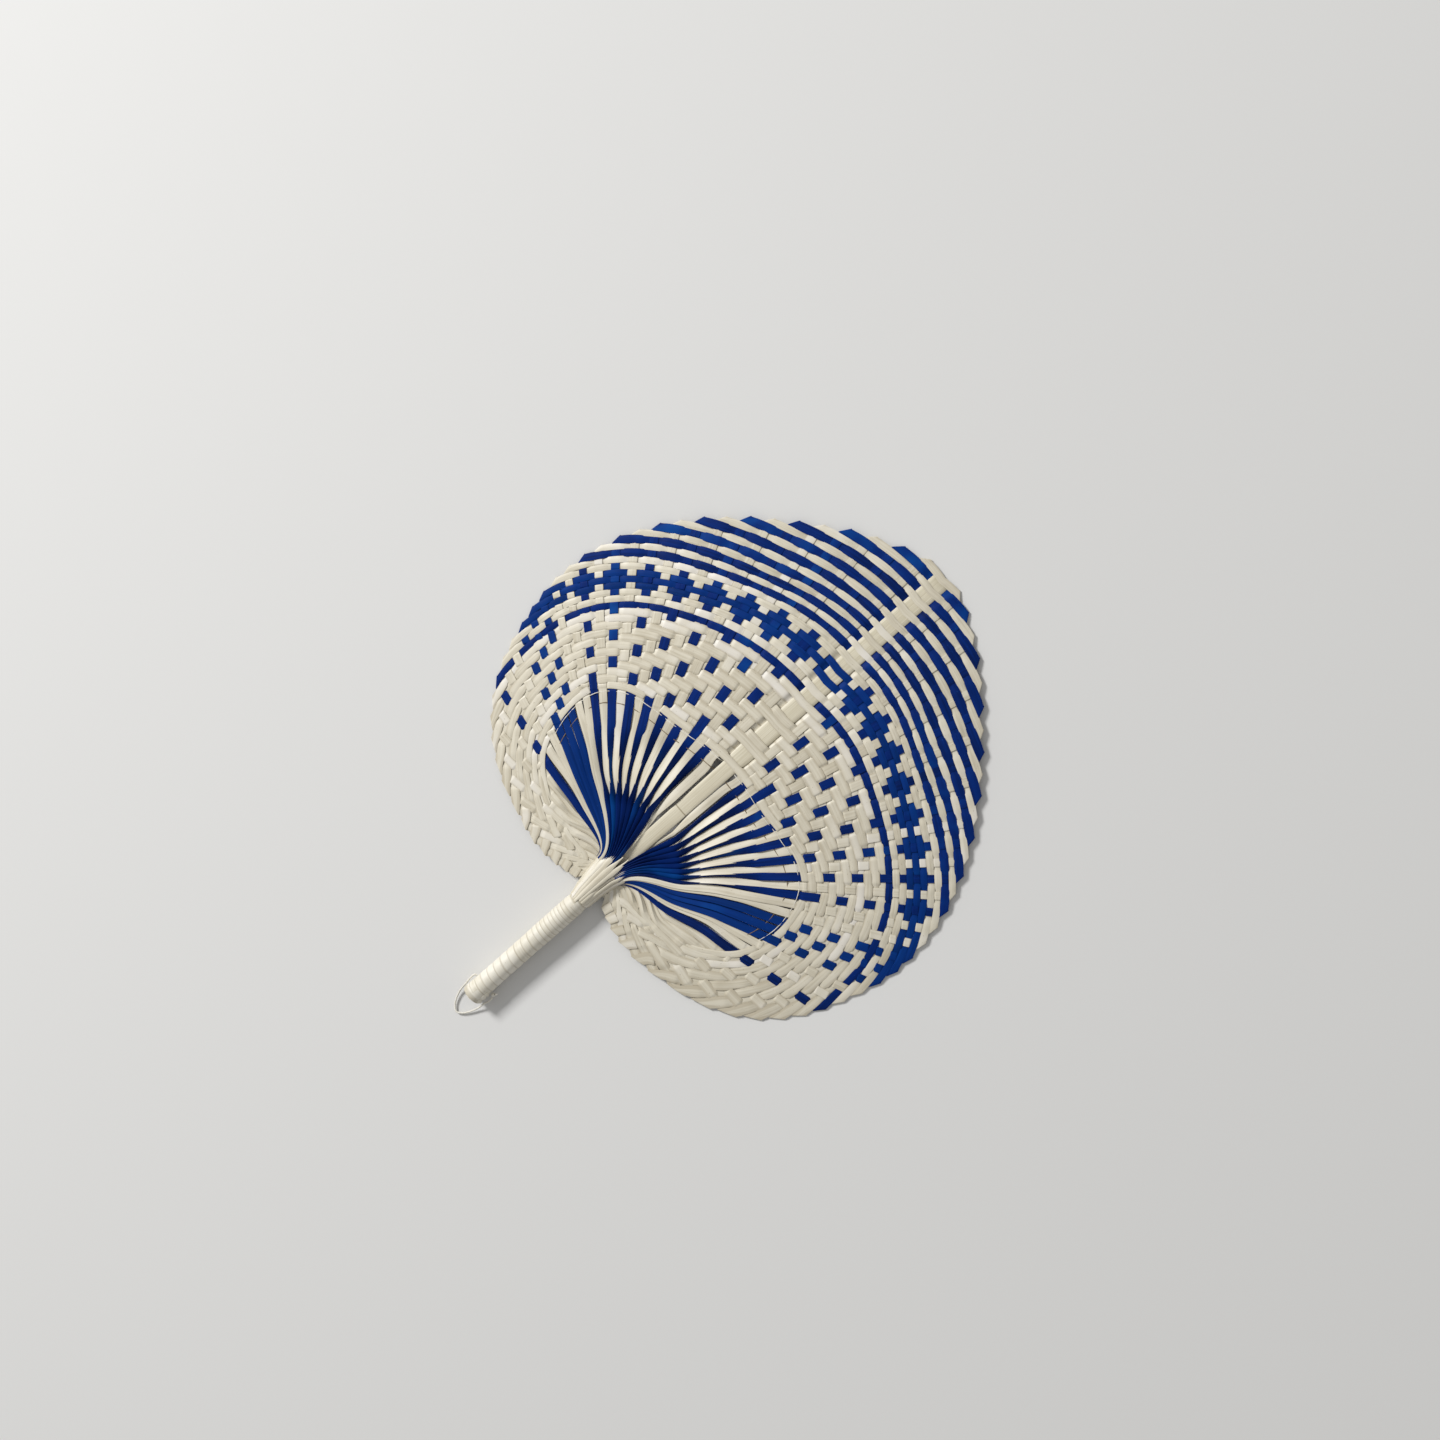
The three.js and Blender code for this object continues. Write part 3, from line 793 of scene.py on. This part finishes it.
def settled(point, side):
    """Puts a point of the even right half where it lies in the finished fan, on either side."""
    x, y, height = point
    reach = math.hypot(x, y)
    if reach > settled_from:
        angle = math.degrees(math.atan2(x, y))
        free = smooth((reach - settled_from) / settled_over)
        swung = angle + share_at(left_swing if side < 0 else right_swing, abs(angle)) * free
        rim, edge, slip = [share_at(shares, abs(angle))
                           for shares in (fold_reach_shares, weave_reach_shares, row_slip)]
        stretch = blend(1, share_at(fold_reach_shares, abs(swung)) / rim, free)
        depth = (reach - weave_reach * edge) / (blade_reach * rim - weave_reach * edge)
        slip *= smooth(depth / 0.35) * (1 - smooth((depth - 0.45) / 0.35))
        moved = (reach * stretch + slip) / reach
        turn = math.radians(swung - angle)
        x, y = ((x * math.cos(turn) + y * math.sin(turn)) * moved,
                (y * math.cos(turn) - x * math.sin(turn)) * moved)
        height += dome_height(x, y) - dome_height(point.x, point.y)
    wave = chance_at(x * side * 22, y * 22, 3.1)
    return Vector((x * side, y, height + unevenness * wave * smooth(abs(x) / 0.03)))


band = 0.02  # each strip has a band of the texture's width to itself
edge_thinness = (0.6, 1, 1, 1, 0.6)
lit_sheet_strip = 19  # the middle one of three blue strips side by side, painted a little lighter all along as painted light on their flat sheet


def strip_sections(stations, strip):
    sections = []
    length = float(strip)
    for k, (middle, face) in enumerate(stations):
        if k:
            length += (middle[2] - stations[k - 1][0][2]).length
        skin = []
        for way, points in ((1, range(5)), (-1, (4, 2, 0)), (1, (0,))):
            for n in points:
                aside = (middle[n] - middle[2]).length * (1 if n > 2 else -1) + strip * band
                rise = face * (strip_thickness / 2) * edge_thinness[n] * way
                skin.append((middle[n] + rise, (length, aside)))
        sections.append(skin)
    return sections


def palm_finish(name, tones, edge, speck, gloss, specular):
    """Palm leaf: fine lengthwise fibres, long soft streaks, painted shade along the edges and a few
    specks.
    """
    finish = Finish(name)
    along, across = finish.run()
    number = (across / band).rounded()
    aside = across - number * band
    tone = finish.cloud(number * 3.17, 0.5, along * 9, detail=1.0)
    fibres = finish.cloud(along * 120, across * 5200, detail=3.0, roughness=0.6)
    streaks = finish.cloud(along * 26, across * 900, number, detail=2.0)
    patches = finish.cloud(along * 60, aside * 60, number * 5, detail=2.0)
    grain = streaks * 0.6 + fibres * 0.4 + tone * 0.6 + patches * 0.4
    body = finish.mix(grain.between(0.65, 1.15), tones[0], tones[1])
    body = finish.mix((tone + patches * 0.6).between(0.85, 1.15), body, tones[2])
    # Painted light: the three blue strips side by side are made a little lighter, as where light
    # catches their flat sheet.
    body = finish.mix((1 - abs(number - lit_sheet_strip).between(1.1, 1.6)) * 0.22, body, tones[2])
    # Painted shade: the edge colour darkens each strip along its edges, where the strips meet and
    # dip under one another.
    body = finish.mix(abs(aside).between(0.0018, 0.0027) * 0.35, body, edge)
    # Painted shade: the lobe strips get a wider band of it along their edges, for the dark valleys
    # between their ridges.
    lobe = number.between(first_lobe - 0.8, first_lobe - 0.2)
    lobe *= 1 - number.between(strip_count + 0.2, strip_count + 0.8)
    body = finish.mix(abs(aside).between(0.001, 0.0025) * lobe * 0.42, body, edge)
    specks = finish.cloud(along * 700, across * 1500, detail=1.0).between(0.71, 0.76)
    return finish.surface(
        specular=specular,
        base_color=finish.mix(specks * 0.5, body, speck),
        roughness=fibres * 0.22 + streaks * 0.1 + gloss,
        normal=finish.bump(fibres * 0.7 + streaks * 0.8, 0.00006, 0.7))


# Each finish's edge colour is painted shade, mixed in along its strips' edges.
natural_palm = palm_finish(
    "natural_palm", ((0.5, 0.445, 0.33), (0.69, 0.64, 0.52), (0.76, 0.72, 0.65)),
    edge=(0.46, 0.4, 0.29), speck=(0.22, 0.16, 0.09), gloss=0.3, specular=0.5)
blue_palm = palm_finish(
    "blue_palm", ((0.0004, 0.008, 0.06), (0.0006, 0.021, 0.165), (0.001, 0.06, 0.28)),
    edge=(0.0005, 0.013, 0.11), speck=(0.01, 0.07, 0.33), gloss=0.42, specular=0.08)
palms = {"natural": natural_palm, "blue": blue_palm}

for strip in range(strip_count):
    colour = "blue" if strip in dyed_strips else "natural"
    left, right = strip_half(strip, -1), strip_half(strip, 1)
    name = f"strip_{strip + 1:02d}_{colour}"
    piece = skinned(f"plaited_{name}", [strip_sections([*reversed(left), *right[1:]], strip)],
                    palms[colour])
    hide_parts(name)


# Edge threads: a pale and a brown thread drawn over and under the spreading strips just inside the
# plaiting, from one lobe to the other and behind the spine, to keep the strips evenly apart.
thread_diameter = 0.0005
pale_thread_inset = 0.0034
brown_thread_inset = 0.010
threaded_strips = 22
thread_lift = 0.00042
thread_over = (3, 9, 15, 18, 19, 20)
thread_sink = 0.0001
thread_twist = 0.002
thread_step = 0.0008
thread_bend = 0.38
thread_sides = 8
ply_dent = 0.2


def smooth_path(points, step):
    """A centripetal Catmull-Rom run through the points, sampled about every step."""
    ends = [points[0] * 2 - points[1], *points, points[-1] * 2 - points[-2]]
    samples = []
    for p, q, r, s in zip(ends, ends[1:], ends[2:], ends[3:]):
        t1 = (q - p).length ** 0.5
        t2 = t1 + (r - q).length ** 0.5
        t3 = t2 + (s - r).length ** 0.5
        count = max(1, round((r - q).length / step))
        for k in range(count):
            t = t1 + (t2 - t1) * k / count
            a = p.lerp(q, t / t1)
            b = q.lerp(r, (t - t1) / (t2 - t1))
            c = r.lerp(s, (t - t2) / (t3 - t2))
            d = a.lerp(b, t / t2)
            e = b.lerp(c, (t - t1) / (t3 - t1))
            samples.append(d.lerp(e, (t - t1) / (t2 - t1)))
    return [*samples, points[-1].copy()]


def twisted_sections(path, radius, pitch, sides=14):
    """Sections of a two-ply twisted strand along a path."""
    sections = []
    length = 0
    normal = (path[1] - path[0]).orthogonal().normalized()
    for k, point in enumerate(path):
        ahead = heading_at(path, k)
        normal = (normal - ahead * normal.dot(ahead)).normalized()
        side = ahead.cross(normal)
        length += (point - path[k - 1]).length if k else 0
        turn = math.tau * length / pitch
        section = []
        for j in range(sides + 1):
            angle = math.tau * j / sides
            swell = 1 - ply_dent * (1 - abs(math.cos(angle - turn)))
            out = (normal * math.cos(angle) + side * math.sin(angle)) * radius * swell
            section.append((point + out, (length, radius * (angle - turn))))
        sections.append(section)
    return sections


def thread_finish(name, light, dark):
    """Twisted fibre, its hairs lying along the twist."""
    finish = Finish(name)
    along, across = finish.run()
    hairs = finish.cloud(along * 900, across * 6000, detail=3.0)
    patches = finish.cloud(along * 260, across * 300, detail=1.0)
    return finish.surface(
        base_color=finish.mix((hairs * 0.7 + patches * 0.5).between(0.4, 0.85), dark, light),
        roughness=hairs * 0.2 + 0.62,
        normal=finish.bump(hairs, 0.00012, 0.8))


def thread_points(side, inset, over):
    """A thread's way from the spine to a lobe, over some of the strips and under the others."""
    points = []
    for strip in range(threaded_strips):
        way = 1 if strip % 2 else -1
        height = way * row_height + thread_lift if strip in over else -way * thread_sink
        for place in (strip - thread_bend, strip, strip + thread_bend):
            spot = on_strip(place, inner_reach(max(place, 0)) - inset)
            lift = height if place == strip else height * 0.6
            points.append(settled(Vector((*spot, dome_height(*spot) + lift)), side))
    return points


pale_fibre = thread_finish("pale_fibre", (0.86, 0.84, 0.77), (0.66, 0.62, 0.53))
brown_fibre = thread_finish("brown_fibre", (0.3, 0.21, 0.11), (0.12, 0.08, 0.04))
for colour, finish, inset, over in (
        ("pale", pale_fibre, pale_thread_inset, thread_over),
        ("brown", brown_fibre, brown_thread_inset, range(0, threaded_strips, 2))):
    spine = inner_reach(0) - inset
    half, thick = splint_size(spine)
    under = Vector((0, spine, dome_height(0, spine) + splint_face - thick - thread_lift))
    ends = [Vector((side * half, under.y, under.z)) for side in (-1, 1)]
    path = [*reversed(thread_points(-1, inset, over)), ends[0], under, ends[1],
            *thread_points(1, inset, over)]
    skin = twisted_sections(smooth_path(path, thread_step), thread_diameter / 2, thread_twist,
                            thread_sides)
    thread = skinned(f"{colour}_edge_thread", [skin], finish)
    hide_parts(f"edge_thread_{colour}")


# Sheath: where the strips meet, those on the outside run down side by side and close round the
# others like the leaves of a bud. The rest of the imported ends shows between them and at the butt.
strand_count = 20
sheath_left = [(-0.027, 0.0059), (-0.022, 0.0076), (-0.012, 0.0094), (-0.0005, 0.0114),
               (0.008, 0.0122)]
sheath_right = [(-0.027, 0.0059), (-0.015, 0.0064), (-0.006, 0.0077), (0, 0.0102),
                (0.004, 0.0122), (0.008, 0.013)]
sheath_half_depth = 0.0053
sheath_end_radius = 0.0059
first_turn = 0.0023
slit_strand = 3
slit_depth = 0.0012
sheath_swell = 0.0004
sheath_pinch = 0.0014
strand_thickness = 0.0004
strand_crown = 0.00028
strand_foot = -0.031
strand_steps = 38
strand_step = 0.00022
strand_tuck = 0.0016
strand_tuck_over = 0.009
strand_wander = 0.16
strand_top_change = 0.003
strand_tip_share, strand_overlap_share = 0.22, 1.06
front_turns = (42, 115)
front_taper, back_taper = 0.014, 0.006
# Heights at which the strands come out of the bundle, by degrees round it from the right.
strand_tops = [(0, 0.001), (25, 0.0045), (50, 0.0085), (78, 0.0105), (100, 0.009), (130, 0.0055),
               (160, 0.003), (182, 0.001), (250, 0.0), (320, 0.0), (360, 0.001)]
core_top = -0.004
core_inset = 0.0008
core_top_radius = 0.00495
core_butt_radius = 0.00535
core_sides = 28
core_rows = 30
core_band = 39  # the first of the textures' bands of the core, the strands and the winding
strand_band = 45


def sheath_point(turn, y, proud):
    """A point round the sheath, so far outside its plain form. It flares more on the left."""
    share = smooth(-y / sheath_length)
    wide = table_at(sheath_left if math.cos(turn) < 0 else sheath_right, y)
    deep = blend(sheath_half_depth, sheath_end_radius, share)
    winding_top = -sheath_length - first_turn * ((math.pi / 2 - turn) % math.tau) / math.tau
    pinch = sheath_pinch * smooth((winding_top - y + 0.0005) / 0.001)
    pinch -= sheath_swell * math.cos(turn) ** 2
    return Vector(((wide + proud - pinch) * math.cos(turn), y,
                   (deep + proud - pinch) * math.sin(turn)))


def strand_sections(number):
    middle_turn = math.tau * (number + 0.5) / strand_count
    top = table_at(strand_tops, math.degrees(middle_turn) % 360)
    top += strand_top_change * chance_at(number * 2.9, 4.4, 1.3)
    front = front_turns[0] < math.degrees(middle_turn) < front_turns[1]
    taper = front_taper if front else back_taper
    wander = chance_at(number * 5.1, 0.3, 7.7) * strand_wander
    sections = []
    for k in range(strand_steps + 1):
        y = blend(top, strand_foot, k / strand_steps)
        open_share = smooth((top - y) / taper)
        half_turn = math.pi / strand_count
        half_turn *= blend(strand_tip_share, strand_overlap_share, open_share)
        tuck = blend(-strand_tuck, 0, smooth((top - y) / strand_tuck_over))
        tuck += strand_step * (number % 2)
        if number == slit_strand:
            tuck -= slit_depth * smooth((y + 0.022) / 0.01)
        lean = middle_turn + wander * smooth((y + 0.02) / 0.03)
        outer, inner = [], []
        for v in (-1, -0.7, -0.3, 0.3, 0.7, 1):
            turn = lean + half_turn * v
            proud = tuck + strand_crown * (1 - v * v)
            mark = (40.0 + number + y, (strand_band + number) * band + v * 0.0016)
            outer.append((sheath_point(turn, y, proud), mark))
            inner.append((sheath_point(turn, y, tuck - strand_thickness), mark))
        sections.append([*outer, *reversed(inner), outer[0]])
    return sections


def core_section(y, radius_share):
    ring = []
    for k in range(core_sides + 1):
        turn = math.tau * k / core_sides
        if y > -sheath_length:
            place = sheath_point(turn, y, -core_inset)
            place = Vector((place.x * radius_share, y, place.z * radius_share))
        else:
            share = (-sheath_length - y) / handle_length
            radius = blend(core_top_radius, core_butt_radius, share)
            place = Vector((radius * math.cos(turn), y, radius * math.sin(turn)))
        ring.append((place, (y + core_band, core_band * band + turn * 0.005)))
    return ring


sheath = skinned("throat_sheath", [strand_sections(number) for number in range(strand_count)],
                 natural_palm)
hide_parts("gathered_tails")

rows = [(core_top + 0.0016, 0.3), (core_top + 0.0012, 0.6), (core_top + 0.0005, 0.85)]
rows += [(blend(core_top, butt_y + 0.0028, k / core_rows), 1) for k in range(core_rows + 1)]
# The core is painted dark brown, as painted shade, since it shows only in the shadowed slits
# between the strands.
painted_shade_palm = palm_finish(
    "painted_shade_palm", ((0.12, 0.1, 0.07), (0.24, 0.21, 0.15), (0.3, 0.27, 0.2)),
    edge=(0.1, 0.08, 0.05), speck=(0.02, 0.03, 0.08), gloss=0.5, specular=0.3)
core = skinned("packed_core", [[core_section(y, share) for y, share in rows]],
               painted_shade_palm)
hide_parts("gathered_tails")

# The ends of the strips at the butt are cut off nearly level, packed flat round the bamboo.
butt_bundle_radius = 0.0052
butt_bamboo_half = 0.0042
butt_rows = 8
butt_row_step = 0.00062
butt_end_half = 0.00021
butt_end_crown = 0.00023
butt_slit = 0.0001
butt_least_width = 0.0009
butt_end_place, butt_end_change = 0.0004, 0.0011
blue_end_chance = 0.12
butt_layers = {"natural": [], "blue": []}
for row in range(-butt_rows, butt_rows + 1):
    z = row * butt_row_step
    if abs(z + splint_thickness / 2 + splint_face / 2) < splint_thickness / 2 + 2 * butt_slit:
        spans = [(-butt_bundle_radius, -butt_bamboo_half), (butt_bamboo_half, butt_bundle_radius)]
    else:
        reach = math.sqrt(max(0, butt_bundle_radius ** 2 - z ** 2))
        cut = chance_at(row * 1.9, 0.2, 5.5) * reach
        spans = [(-reach, cut - butt_slit), (cut + butt_slit, reach)]
    for number, (first, last) in enumerate(spans):
        if last - first < butt_least_width:
            continue
        chance = chance_at(row * 3.3, number * 8.1, 2.7)
        stop = butt_y + butt_end_place + butt_end_change * chance
        colour = "blue" if chance > blue_end_chance else "natural"
        middle, half = blend(first, last, 0.5), butt_end_half
        outline = [(first, -half), (middle, -butt_end_crown), (last, -half), (last, half),
                   (middle, butt_end_crown), (first, half), (first, -half)]
        butt_layers[colour].append([
            [(Vector((x, y, z + lift + 0.0002 * math.sin(x * 900 + row))),
              (y + row, x + (row + 20) * band)) for x, lift in outline]
            for y in (butt_y + 0.003, stop + 0.0003, stop)])
for colour, layers in butt_layers.items():
    ends = skinned(f"butt_ends_{colour}", layers, palms[colour])
    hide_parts("gathered_tails")


# Handle winding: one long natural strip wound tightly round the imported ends, each turn half over
# the one below it. The turns are close below the sheath and wider towards the butt, where the last
# one is laid flat and its end is split and tucked in on the right.
winding_width = 0.006
winding_base = 0.00572
winding_strip = 0.0003
winding_lift = 0.0006
winding_crown = 0.00022
close_turns = [first_turn, 0.0027, 0.0025, 0.0029, 0.0024, 0.0027, 0.003, 0.0026, 0.0031, 0.0034]
wide_turns = [0.0046, 0.0053, 0.0049, 0.0056, 0.0051, 0.0058, 0.0053, 0.0047, 0.0045, 0.0041]
last_turn_width = 0.009
last_turn_lap = 0.0008
last_turn_falls = (0, 0.0006, 0.0008)
winding_unevenness = 0.00022
winding_roughness = 0.00006
winding_width_change = 0.05
winding_band = 66
turn_steps = 44
turn_length = 0.036


def around(angle, y, radius):
    """A place beside the handle's axis."""
    return Vector((math.sin(angle) * radius, y, math.cos(angle) * radius))


def winding_sections(tops, width, number, turns_from=0.0):
    """Sections of a strip wound round the handle. tops lists its upper edge's place after each
    whole turn."""
    table = list(enumerate(tops))
    sections = []
    for k in range(turn_steps * (len(tops) - 1) + 1):
        turns = k / turn_steps
        angle = math.tau * (turns + turns_from)
        top = table_at(table, turns)
        top += winding_unevenness * chance_at(turns * 1.3, number, 0.7)
        wide = width * (1 + winding_width_change * chance_at(turns * 0.8, number, 3.7))
        last = min(int(turns), len(tops) - 2)
        step = max(tops[last] - tops[last + 1], 0.002)
        lift = winding_lift * clamp(wide / step - 0.5, 0.5, 1)
        outer, inner = [], []
        for v in (-1, -0.94, -0.5, 0, 0.5, 0.94, 1):
            y = top - wide * (v + 1) / 2
            grain = chance_at(math.cos(angle) * 3, y * 900, math.sin(angle) * 3)
            radius = winding_base + lift * (v + 1) / 2 + winding_crown * (1 - v * v)
            radius += winding_roughness * grain
            mark = (90.0 + number + turns * turn_length, number * band + v * width / 2)
            outer.append((around(angle, y, radius - (0.0001 if abs(v) == 1 else 0)), mark))
            inner.append((around(angle, y, radius - winding_strip), mark))
        sections.append([*outer, *reversed(inner), outer[0]])
    return sections


tops = [-sheath_length]
for step in [*close_turns, *wide_turns]:
    tops.append(tops[-1] - step)
# Its edge colour is darker than the blade's: painted shade in the grooves between the turns.
winding_finish = palm_finish(
    "winding_palm", ((0.6, 0.55, 0.43), (0.74, 0.7, 0.6), (0.79, 0.76, 0.68)),
    edge=(0.3, 0.25, 0.16), speck=(0.3, 0.24, 0.15), gloss=0.36, specular=0.5)
last_top = tops[-1] + last_turn_lap
last_tops = [last_top - fall for fall in last_turn_falls]
turns = [winding_sections(tops, winding_width, winding_band),
         winding_sections(last_tops, last_turn_width, winding_band + 1, turns_from=0.2)]
winding = skinned("wound_strip", turns, winding_finish)
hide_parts("handle_winding")

# Split ends of the last turn, tucked in side by side: the place, length and width of each.
split_ends = [(0.0015, 0.0042, 0.0026), (0.0044, 0.0058, 0.003), (0.0077, 0.0048, 0.0028)]
split_turn = math.radians(52)
split_thickness = 0.0002
split_crown = 0.00012
split_seat, split_rise = 0.0001, 0.0005
split_narrowing = 0.55
split_drop = 0.0011
split_steps = 12
skins = []
for number, (place, reach, width) in enumerate(split_ends):
    sections = []
    for k in range(split_steps + 1):
        share = k / split_steps
        angle = split_turn + share * reach / winding_radius
        radius = winding_radius + split_seat + split_rise * share ** 2
        wide = width * (1 - split_narrowing * smooth(share * 1.4 - 0.4))
        y = last_top - place - split_drop * share
        outer, inner = [], []
        for v in (-1, -0.5, 0, 0.5, 1):
            place_across = (winding_band + 2 + number) * band + v * width / 2
            mark = (95.0 + number + share * reach, place_across)
            side = y - wide * v / 2
            outer.append((around(angle, side, radius + split_crown * (1 - v * v)), mark))
            inner.append((around(angle, side, radius - split_thickness), mark))
        sections.append([*outer, *reversed(inner), outer[0]])
    skins.append(sections)
ends = skinned("split_ends_of_winding", skins, winding_finish)
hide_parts("handle_winding")


# Hanging loop: a thin cord of two twisted plies of pale fibre. It is tucked under the winding on
# both sides of the handle, tied off with a small knot on the right, and droops behind the butt.
loop_diameter = 0.0011
loop_half_width = 0.0076
loop_drop = 0.0145
loop_height = 0.011
loop_twist = 0.0026
knot_radius = 0.0015
knot_entry_share = 0.6
knot_turn_radius = 0.00085
knot_turns = [k * 0.35 for k in range(37)]
knot_middle_turn, knot_turn_rise = 6.2, 0.00014
knot_end_steps = ((0.0003, 0.0006, 0.0002), (0.0002, 0.0013, 0.0002))
knot_cord_radius = loop_diameter * 0.42
cord_step = 0.00025
winding_gap = 0.0003
# The loop's way as shares of its half width, of its drop past the butt and of the winding's radius
# towards the table.
loop_route_shares = [
    (-1.07, -0.455, 0.16), (-1, -0.15, 0.45), (-0.92, 0.25, 0.7), (-0.66, 0.62, 0.79),
    (-0.3, 0.88, 0.825), (0.12, 1, 0.825), (0.5, 0.86, 0.825), (0.82, 0.56, 0.79),
    (1.02, 0.2, 0.68), (1.1, -0.15, 0.45), (1.23, -0.455, 0.2),
]

knot_centre = Vector((winding_radius + knot_radius + winding_gap, butt_y + loop_height, 0))
left_start = -winding_radius - winding_gap
loop_points = [Vector((left_start, butt_y + loop_height, 0)),
               Vector((left_start - loop_diameter, butt_y + loop_height - loop_diameter / 2, 0))]
loop_points += [Vector((loop_half_width * x, butt_y - loop_drop * y, -winding_radius * z))
                for x, y, z in loop_route_shares]
knot_entry = Vector((knot_radius * knot_entry_share, -knot_radius - winding_gap, 0))
loop_points.append(knot_centre + knot_entry)
loop_path = smooth_path(loop_points, cord_step)
loop_length = sum((q - p).length for p, q in zip(loop_path, loop_path[1:]))

skin = twisted_sections(loop_path, loop_diameter / 2, loop_twist)
hanging_loop = skinned("hanging_loop_cord", [skin], pale_fibre)
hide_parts("hanging_loop")

# The knot is two tight turns of the same cord round its own end.
knot_path = [knot_centre + Vector((math.cos(turn) * knot_turn_radius,
                                   (turn - knot_middle_turn) * knot_turn_rise,
                                   math.sin(turn) * knot_turn_radius)) for turn in knot_turns]
knot_path += [knot_path[-1] + Vector(step) for step in knot_end_steps]
skin = twisted_sections(smooth_path(knot_path, cord_step), knot_cord_radius, loop_twist)
loop_knot = skinned("loop_tied_knot", [skin], pale_fibre)
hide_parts("loop_knot")
throat + loop_path[0]
[throat + point for point in loop_path]
